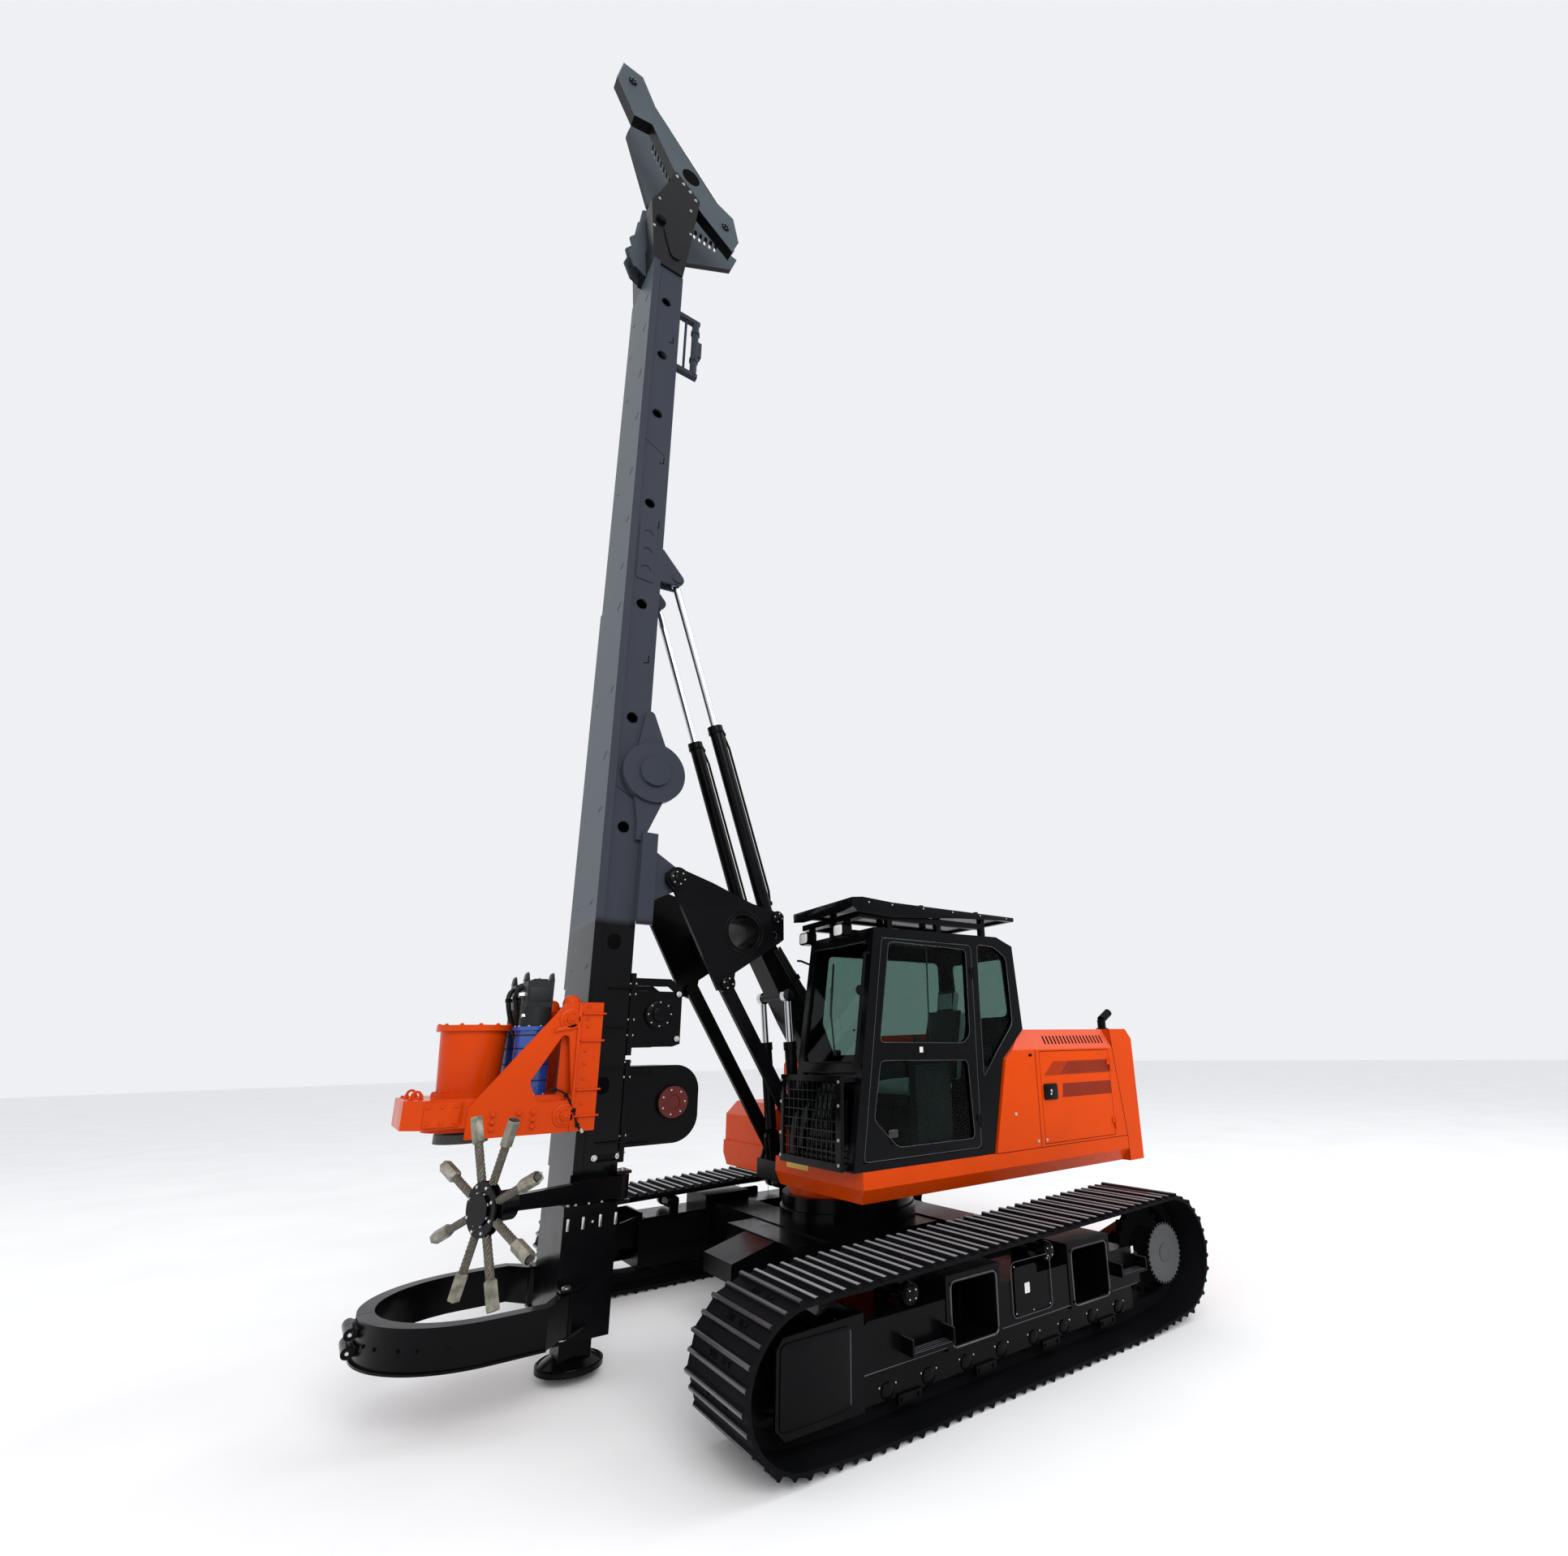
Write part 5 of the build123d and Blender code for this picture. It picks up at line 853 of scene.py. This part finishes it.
def make_seat():
    """Seat pads on a pedestal and a back shell, in place of the plain CAD seat."""
    y = 900.0
    cushion("seat_cushion", -330, 190, y - 240, y + 260, 1782, 1900)
    back = cushion("seat_back", -300, 300, -230, 230, 0, 110)
    back_turn = Matrix.Rotation(radians(-101.3), 4, "Y")
    head = cushion("seat_headrest", -85, 85, -115, 115, 0, 92, crown=14.0, cells=8)
    for pad, place in ((back, (-418, y + 10, 2180)), (head, (-488, y + 10, 2572))):
        pad.data.transform(Matrix.Translation(at(*place)) @ back_turn @ Matrix.Translation(-at(0, 0, 0)))
    shell = Forms()
    shell.plate("xz", ((-378, 1884), (-330, 1884), (-470, 2478), (-500, 2478)), y - 205, y + 225, 8)
    shell.plate("xz", ((-478, 2470), (-500, 2470), (-520, 2655), (-505, 2655)), y - 95, y + 115, 4)
    shell.block(-250, 110, y - 180, y + 200, 1340, 1500, 14)
    shell.block(-170, 40, y - 120, y + 140, 1500, 1700, 20)
    shell.block(-300, 165, y - 200, y + 220, 1700, 1784, 14)
    for arm_y in (y - 228, y + 248):
        shell.bar(((-360, arm_y, 1900), (-390, arm_y, 2060), (-100, arm_y, 2075)), 16)
    base = shell.done("seat_frame", TRIM, "upper_structure")
    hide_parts("seat")


make_seat()

# Boom, carrier and cylinders


def make_pins():
    """Keeper plates over the pins, each with its ring of bolts and a boss at the middle."""
    def caps(pins, side):
        for x, y, z, r, count, bolt_r in pins:
            black.turned((x, side * y, z), side,
                         ((r, -2), (r, 7), (r * 0.94, 9), (r * 0.45, 9), (r * 0.42, 16), (r * 0.34, 18)), 32)
            bright.bolt_ring((x, side * (y + 8), z), side, r * 0.7, count, bolt_r, 0.6)

    black, bright = forms(2)
    for side in BOTH:
        caps(((1470, 415, 2710, 56, 4, 8), (1950, 420, 3550, 74, 6, 7), (1010, 415, 3300, 52, 4, 7)), side)
        for r in (180, 150):
            black.bar(on_side(circle(1330, 3150, r, 48), side * 401), 5, 8, True)
    black.done("carrier_caps", BLACK, "mast_carrier")
    bright.done("carrier_bolts", ZINC, "mast_carrier")
    black, bright = forms(2)
    for side in BOTH:
        caps(((620, 394, 1300, 50, 4, 7), (170, 200, 1740, 60, 4, 7)), side)
    black.done("frame_caps", BLACK, "upper_structure")
    bright.done("frame_cap_bolts", ZINC, "upper_structure")


make_pins()


def make_cylinder_bits():
    """Hard pipes, port blocks and gland rings on the tilting cylinders' barrels."""
    base, eye = (1010, 3300), (2080, 6440)
    reach = dist(base, eye)
    ux, uz = (eye[0] - base[0]) / reach, (eye[1] - base[1]) / reach
    pipes, ports = forms(2)
    for side in BOTH:
        y = side * 230
        line = spots(base, (ux, uz), (-uz, ux), ((150, 66), (260, 88), (900, 88), (1650, 88), (1790, 66)))
        pipes.bar(on_side(line, y), 11)
        low_port, high_port, gland = on_side(
            spots(base, (ux, uz), (-uz, ux), ((150, 0), (1790, 0), (1800, 0))), y)
        for place in (low_port, high_port):
            ports.turned(place, (-uz, 0, ux), ((24, 40), (24, 78), (18, 84)), 14)
        ports.turned(gland, (ux, 0, uz), ((72, 0), (74, 4), (74, 20), (70, 24)), 32)
    pipes.done("tilt_pipes", BLACK, "tilt_barrels")
    ports.done("tilt_ports", BLACK, "tilt_barrels")


make_cylinder_bits()

# Mast

MAST_HALF_Y = 300
LOWER_DRUM, UPPER_DRUM = (1836, 1793), (1990, 2460)


def make_mast():
    body = "mast"
    rims, strip, dark, ticks, slots, bolts, black, cover, studs = forms(9)
    for side in BOTH:
        for z in (9650, 8940, 8200, 7140, 6050, 4930, 3950):
            rims.bar(on_side(circle(2395, z, 51), side * (MAST_HALF_Y + 1)), 3, 6, True)
        # near-black patches in the low openings: painted shade
        for z in (3009, 1939):
            dark.side(side, rounded(2345, 2445, z - 62, z + 62, 44), MAST_HALF_Y, MAST_HALF_Y + 1.5)
        strip.block(2500, 2506, *sorted((side * 300.5, side * 345)), 1400, 10090, 1)
    z = 1700.0
    while z < 9900:
        for side in BOTH:
            tilt = random.uniform(12, 60)
            y = side * random.uniform(150, 190)
            ticks.bar(((2566, y, z), (2566.5, y + side * 80, z + tilt)), 1.2, 6)
        z += random.uniform(420, 900)
    for z in (7850, 4300):
        for side in BOTH:
            ticks.bar(on_side(((2300, z - 110), (2495, z)), side * 300.5), 2.2, 6)
    rims.done("mast_hole_rims", MAST, body)
    strip.done("mast_rail_edge", MAST, body)
    ticks.done("mast_welds", BLACK, body)
    dark.done("mast_low_opening_shade", DARK, body)
    # near-black patches in the drain slots: painted shade
    for z in (9240, 7720, 6980, 5560):
        for side in BOTH:
            slots.side(side, ((2292, z), (2300, z), (2300, z - 70), (2340, z - 84), (2340, z - 92), (2292, z - 76)),
                       MAST_HALF_Y, MAST_HALF_Y + 1.5)
    slots.done("mast_drain_slot_shade", DARK, body)
    for z in (2690, 2608, 2415, 2298, 2104, 1993, 1580, 1465):
        for side in BOTH:
            for y in (278, 306):
                bolts.bolt((2205, side * y, z), "-x", 10)
            bolts.bolt((2240, side * 306, z), "x", 9, False)
    for z in (2620, 2270):
        for side in BOTH:
            bolts.bolt((1835, side * 280, z), side, 15)
    for z in (1541, 2064, 2655, 2362):
        for side in BOTH:
            black.side(side, ((2245, z - 7), (2400, z - 5), (2412, z), (2400, z + 5), (2245, z + 7)), 300, 352, 2)
    black.done("winch_gussets", BLACK, body)
    bolts.done("winch_bolts", ZINC, body)
    rings = ((118, 281), (118, 288), (54, 288), (54, 275))
    cover.rings([[at(*point) for point in on_side(circle(*LOWER_DRUM, r, 40), y)] for r, y in rings])
    cover.done("winch_cover", RED, body)
    for side in BOTH:
        y = 287 if side > 0 else -281
        studs.bolt_ring((LOWER_DRUM[0], y, LOWER_DRUM[1]), side, 92, 7, 8, 0.35)
    studs.done("winch_cover_bolts", ZINC, body)


def make_winch_drum():
    body = "winch_drum"
    drum_side, hub, rope = forms(3)
    x, z = UPPER_DRUM
    for side in BOTH:
        drum_side.bolt_ring((x, side * 291, z), side, 92, 8, 7)
        hub.turned((x, side * 288, z), side,
                   ((104, 0), (104, 6), (96, 9), (60, 9), (56, 22), (40, 26), (12, 27)), 36)
    hub.done("winch_hub_caps", BLACK, body)
    drum_side.done("winch_hub_bolts", ZINC, body)
    for y in range(-205, 206, 22):
        turn = [on_circle(x, z, 121, t * pi / 16) for t in range(33)]
        rope.bar([(a, y + 11 * t / 32, b) for t, (a, b) in enumerate(turn)], 10, 8)
    rope.done("winch_rope", ROPE, body)


make_mast()
make_winch_drum()


def make_foot():
    body = "mast"
    bright, black, hoop = forms(3)
    for side in BOTH:
        for x in (2560, 2457, 2340, 2232):
            black.block(x - 13, x + 13, *sorted((side * 309, side * 318)), 985, 1075, 3)
            bright.block(x - 10, x + 10, *sorted((side * 317, side * 324)), 990, 1070, 5)
        black.turned((2392, side * 309, 1030), side, ((26, 0), (26, 8), (12, 10)), 20)
        bright.turned((2392, side * 318, 1030), side, ((8, 0), (8, 5), (6, 6)), 16)
        for x in (2250, 2340, 2430, 2520, 2570):
            bright.bolt((x, side * 326, 1150), "z", 10)
        for z, axis in ((375, "-z"), (665, "z")):
            bright.turned((2560, side * 420, z), axis, ((30, -1), (30, 8), (22, 14), (10, 16)), 20)
        bright.side_bolts(side, 302, ((2521, 1427), (2414, 1443), (2242, 1443)), 15)
        black.side(side, ((2495, 1350), (2550, 1350), (2545, 1425), (2530, 1458), (2512, 1458), (2500, 1425)),
                   299, 306, 2)
        black.side(side, rounded(2225, 2440, 1415, 1462, 16), 299, 304, 2)
    bright.bolt((2240, 420, 1360), "z", 16)
    black.done("foot_plates", BLACK, body)
    bright.done("foot_bolts", ZINC, body)
    hoop.bar([(x, y, 99) for x, y in circle(2380, 0, 214, 40)], 5, 8, True)
    hoop.done("jack_pad_rim", BLACK, "foot_jack")


make_foot()

BEAM_RIM = ((3115, 12343), (3064, 12629), (2853, 12627), (2692, 12320), (1897, 11520), (1711, 11453), (1631, 11142))


def make_head():
    body = "mast"
    bright, dark, black, edges = forms(4)
    for side in BOTH:
        bright.side_bolts(side, 320, ((2396, 11470), (2318, 11420), (2240, 11370), (2170, 11300)))
        bright.side_bolts(side, 320, ((2200, 10760), (2215, 11100), (2560, 10980), (2590, 10560)), 10)
        black.turned((2524, side * 349, 10692), side, ((44, 0), (44, 8), (30, 12), (12, 13)))
    # near-black disc in the head's opening: painted shade
    dark.plate("xz", circle(2234, 11632, 100, 32), 299.5, 301.5)
    for x, z in ((2950, 12440), (1800, 11235)):
        for y, side in ((312, 1), (168, -1)):
            black.turned((x, y - 2 * side, z), side, ((44, 0), (44, 8), (36, 12), (12, 13)))
            bright.bolt_ring((x, y + 6 * side, z), side, 31, 5, 5)
    dark.done("head_opening_shade", DARK, body)
    black.done("head_caps", BLACK, body)
    bright.done("head_bolts", ZINC, body)
    # bright lines of painted highlight along the beams' rim
    for ends in zip(BEAM_RIM, BEAM_RIM[1:]):
        edges.bar(on_side(ends, 299), 4, 6)
    edges.done("head_edge_highlights", RIM_HIGHLIGHT, body)


make_head()

# Sled and rotary drive

DRUM_X, GEARBOX_X = 3240, 2890
TOP_PLATE_BOLTS = ((2700, 380), (2700, -380), (3080, 380), (3080, -380), (3600, 250), (3600, -250), (3600, 0),
                   (3480, 340), (3480, -340))
SIDE_BOSSES = ((2700, 2410), (2690, 1760))
HOSE = ((2978, 150, 2650), (3010, 140, 2630), (3020, 130, 2560), (2990, 120, 2420), (2940, 90, 2280),
        (2890, 60, 2150), (2850, 50, 2000), (2830, 60, 1930))
LEAD = ((2806, 462, 1927), (2780, 466, 1935), (2700, 470, 1905), (2640, 470, 1810), (2600, 468, 1700),
        (2564, 466, 1650))


def make_sled():
    body = "sled"
    orange, black, bright, ribbed, clamps, cable, ends = forms(7)
    for side in BOTH:
        orange.side_bolts(side, 460, [(2582, z) for z in (2500, 2415, 2364, 2194, 2104, 2000, 1836, 1734)], 11)
        orange.side_bolts(side, 460, [(x, z) for x in (3140, 2980, 2892) for z in (1796, 1750, 1706)], 17)
        for x, z in SIDE_BOSSES:
            orange.bolt_ring((x, side * 476, z), side, 45, 6, 7)
            orange.bolt((x, side * 489, z), side, 16)
        orange.side_bolts(side, 420, [(x, z) for x in (3350, 3430, 3510) for z in (1760, 1860)], 11)
    for index in range(12):
        for r, z, bolt_r in ((226, 2380, 11), (206, 1930, 9)):
            orange.bolt((*on_circle(DRUM_X, 0, r, index * pi / 6), z), "z", bolt_r)
    for x, y in TOP_PLATE_BOLTS:
        orange.bolt((x, y, 1900), "z", 13)
    for side in BOTH:
        orange.side(side, box(2634, 2652, 1655, 2524), 460, 476, 2)
        orange.side(side, ((2652, 2350), (2652, 2380), (2790, 2350), (2810, 2320)), 460, 476, 2)
        for x, z in SIDE_BOSSES:
            orange.side(side, circle(x, z, 78, 32), 460, 468, 2)
        orange.side(side, rounded(2632, 2735, 1880, 2420, 20), 380, 372, 2)
    for y in (-300, 300):
        orange.turned((2668, y, 2500), "z", ((62, -4), (62, 40), (54, 66), (34, 84), (8, 90)))
    orange.done("sled_bolts", ORANGE, body)
    for side in BOTH:
        y = side * 210
        for z in (2365, 1900):
            bright.bolt_ring((GEARBOX_X, y, z), "z", 124, 10, 8, 0.3)
        black.bolt_ring((GEARBOX_X, y, 2500), "z", 88, 6, 9)
        for x in (2804, 2976):
            lug = ((x - 16, 2690), (x + 16, 2690), (x + 8, 2742), (x, 2756), (x - 8, 2742))
            black.plate("xz", lug, y - 44, y + 44, 3)
        black.block(2812, 2968, y - 92, y + 92, 2540, 2648, 10)
        black.block(2840, 2940, y - 70, y + 70, 2686, 2706, 8)
        bright.turned((2982, y, 2590), "x", ((26, -4), (26, 16), (20, 20), (20, 34), (16, 36)), 6)
        bright.turned((2982, y + 48, 2440), "x", ((18, -14), (18, 8), (14, 12)), 6)
        for z in (1990, 2100, 2210, 2300):
            black.turned((GEARBOX_X, y, z), "z", ((121.5, 0), (121.5, 10)), 40)
    bright.done("gearbox_bolts", ZINC, body)
    black.done("motor_castings", CASTING, body)
    for side in BOTH:
        ribbed.bar(smooth_path([(x, side * y, z) for x, y, z in HOSE], 8), 17)
    ribbed.done("drive_pipes", RUBBER, body)
    for side in BOTH:
        for x, y, z in ((3018, 131, 2570), (2941, 92, 2285), (2850, 51, 2010)):
            clamps.turned((x, side * y, z - 12), "z", ((24, 0), (24, 26)), 14)
    for x, z in ((2768, 1933), (2690, 1893), (2630, 1790), (2598, 1692)):
        clamps.block(x - 13, x + 13, 459, 478, z - 13, z + 13, 3)
    clamps.done("pipe_clamps", BLACK, body)
    cable.bar(smooth_path(LEAD, 8), 7, 8)
    cable.done("sensor_lead", RUBBER, body)
    ends.bar(((2572, 466, 1668), (2556, 466, 1640)), 11)
    ends.done("sensor_plug", ZINC, body)


make_sled()

# Guide ring and cleaner star

RING_X, RING_R = 3030, 661


def make_guide():
    for name, side in SIDES:
        bright, black = forms(2)
        for z in (470, 568):
            bright.turned((3716, side * 3, z), side, ((12, 2), (12, 122), (9, 126)), 16)
        for degrees in range(20, 170, 25):
            across, along = abs(cos(radians(degrees))), sin(radians(degrees))
            if RING_R * along > 50 and RING_R * across > 90:
                black.bolt((RING_X + RING_R * along, side * RING_R * across, 520), (along, side * across, 0), 10)
        bright.done(f"guide_latch_{name}", ZINC, f"guide_half_{name}")
        black.done(f"guide_bolts_{name}", BLACK, f"guide_half_{name}")


make_guide()

STAR_HUB, STAR_TURN = (3212.0, 950.0, 1308.0), radians(20)
ARMS, STRANDS, STRAND_STEPS, STRAND_TURNS = 8, 6, 24, 1.6


def star_point(across, up, out=0.0):
    """A place on the star: across and up in its plane, out along its shaft."""
    return (STAR_HUB[0] - across * sin(STAR_TURN) + out * cos(STAR_TURN),
            STAR_HUB[1] + across * cos(STAR_TURN) + out * sin(STAR_TURN),
            STAR_HUB[2] + up)


def make_star():
    body = "star"
    ropes, ferrules, bolts, sockets = forms(4)
    shaft = cos(STAR_TURN), sin(STAR_TURN)
    for arm in range(ARMS):
        angle = radians((arm + 0.5) * 360 / ARMS)
        ca, sa = cos(angle), sin(angle)
        for strand in range(STRANDS):
            points = []
            for step in range(STRAND_STEPS + 1):
                reach = 150 + 240 * step / STRAND_STEPS
                twist = 2 * pi * (strand / STRANDS + step / STRAND_STEPS * STRAND_TURNS)
                side_step, depth = 16 * cos(twist), 16 * sin(twist)
                points.append(star_point(ca * reach - sa * side_step, sa * reach + ca * side_step, depth))
            ropes.bar(points, 9, 6)
        out = tuple(Vector(star_point(ca, sa)) - Vector(star_point(0, 0)))
        ferrules.turned(star_point(ca * 382, sa * 382), out, ((26, -6), (38, 4), (38, 146), (35, 154)), 6, pi / 6)
        sockets.turned(star_point(ca * 536, sa * 536), out, ((22, -12), (22, 0.8)), 14)
        for reach in (88, 128):
            for way in (1, -1):
                bolts.bolt(star_point(ca * reach, sa * reach, way * 26), (way * shaft[0], way * shaft[1], 0), 10, False)
    ropes.done("star_ropes", ROPE, body)
    ferrules.done("star_ferrules", FERRULE, body)
    bolts.done("star_bolts", ZINC, body)
    sockets.done("star_sockets", DULL, body)


make_star()

# Floor, light and backdrop

# place, aim, size, watts
LAMPS = (((4, 18, 13), (0, 0, 3), 12, 2300),
         ((16, -5, 12), (0, 0, 4), 10, 500),
         ((-14, 8, 16), (0, 0, 3), 10, 700))


def make_stage():
    floor_material, tree, shader = new_material("pale_floor")
    shade = ramp(tree, noise(tree, 0.8, 3), 0.3, 0.7, (0.86, 0.86, 0.86), (0.90, 0.90, 0.90))
    feed(tree, shader, {"Base Color": shade, "Roughness": 0.8})
    bpy.ops.mesh.primitive_plane_add(size=160, location=(0, 0, -0.002))
    floor = bpy.context.object
    floor.name = "floor"
    dress(floor, floor_material)
    world = bpy.data.worlds.new("studio")
    bpy.context.scene.world = world
    world.use_nodes = True
    feed(world.node_tree, world.node_tree.nodes["Background"], {"Color": (0.96, 0.97, 1.0, 1), "Strength": 0.9})
    for index, (place, aim, size, power) in enumerate(LAMPS):
        data = bpy.data.lights.new(f"softbox_{index}", "AREA")
        data.size = size
        data.energy = power
        lamp = bpy.data.objects.new(f"softbox_{index}", data)
        bpy.context.scene.collection.objects.link(lamp)
        lamp.location = place
        lamp.rotation_euler = (Vector(aim) - Vector(place)).to_track_quat("-Z", "Y").to_euler()


make_stage()
bpy.context.scene.view_settings.view_transform = "Standard"
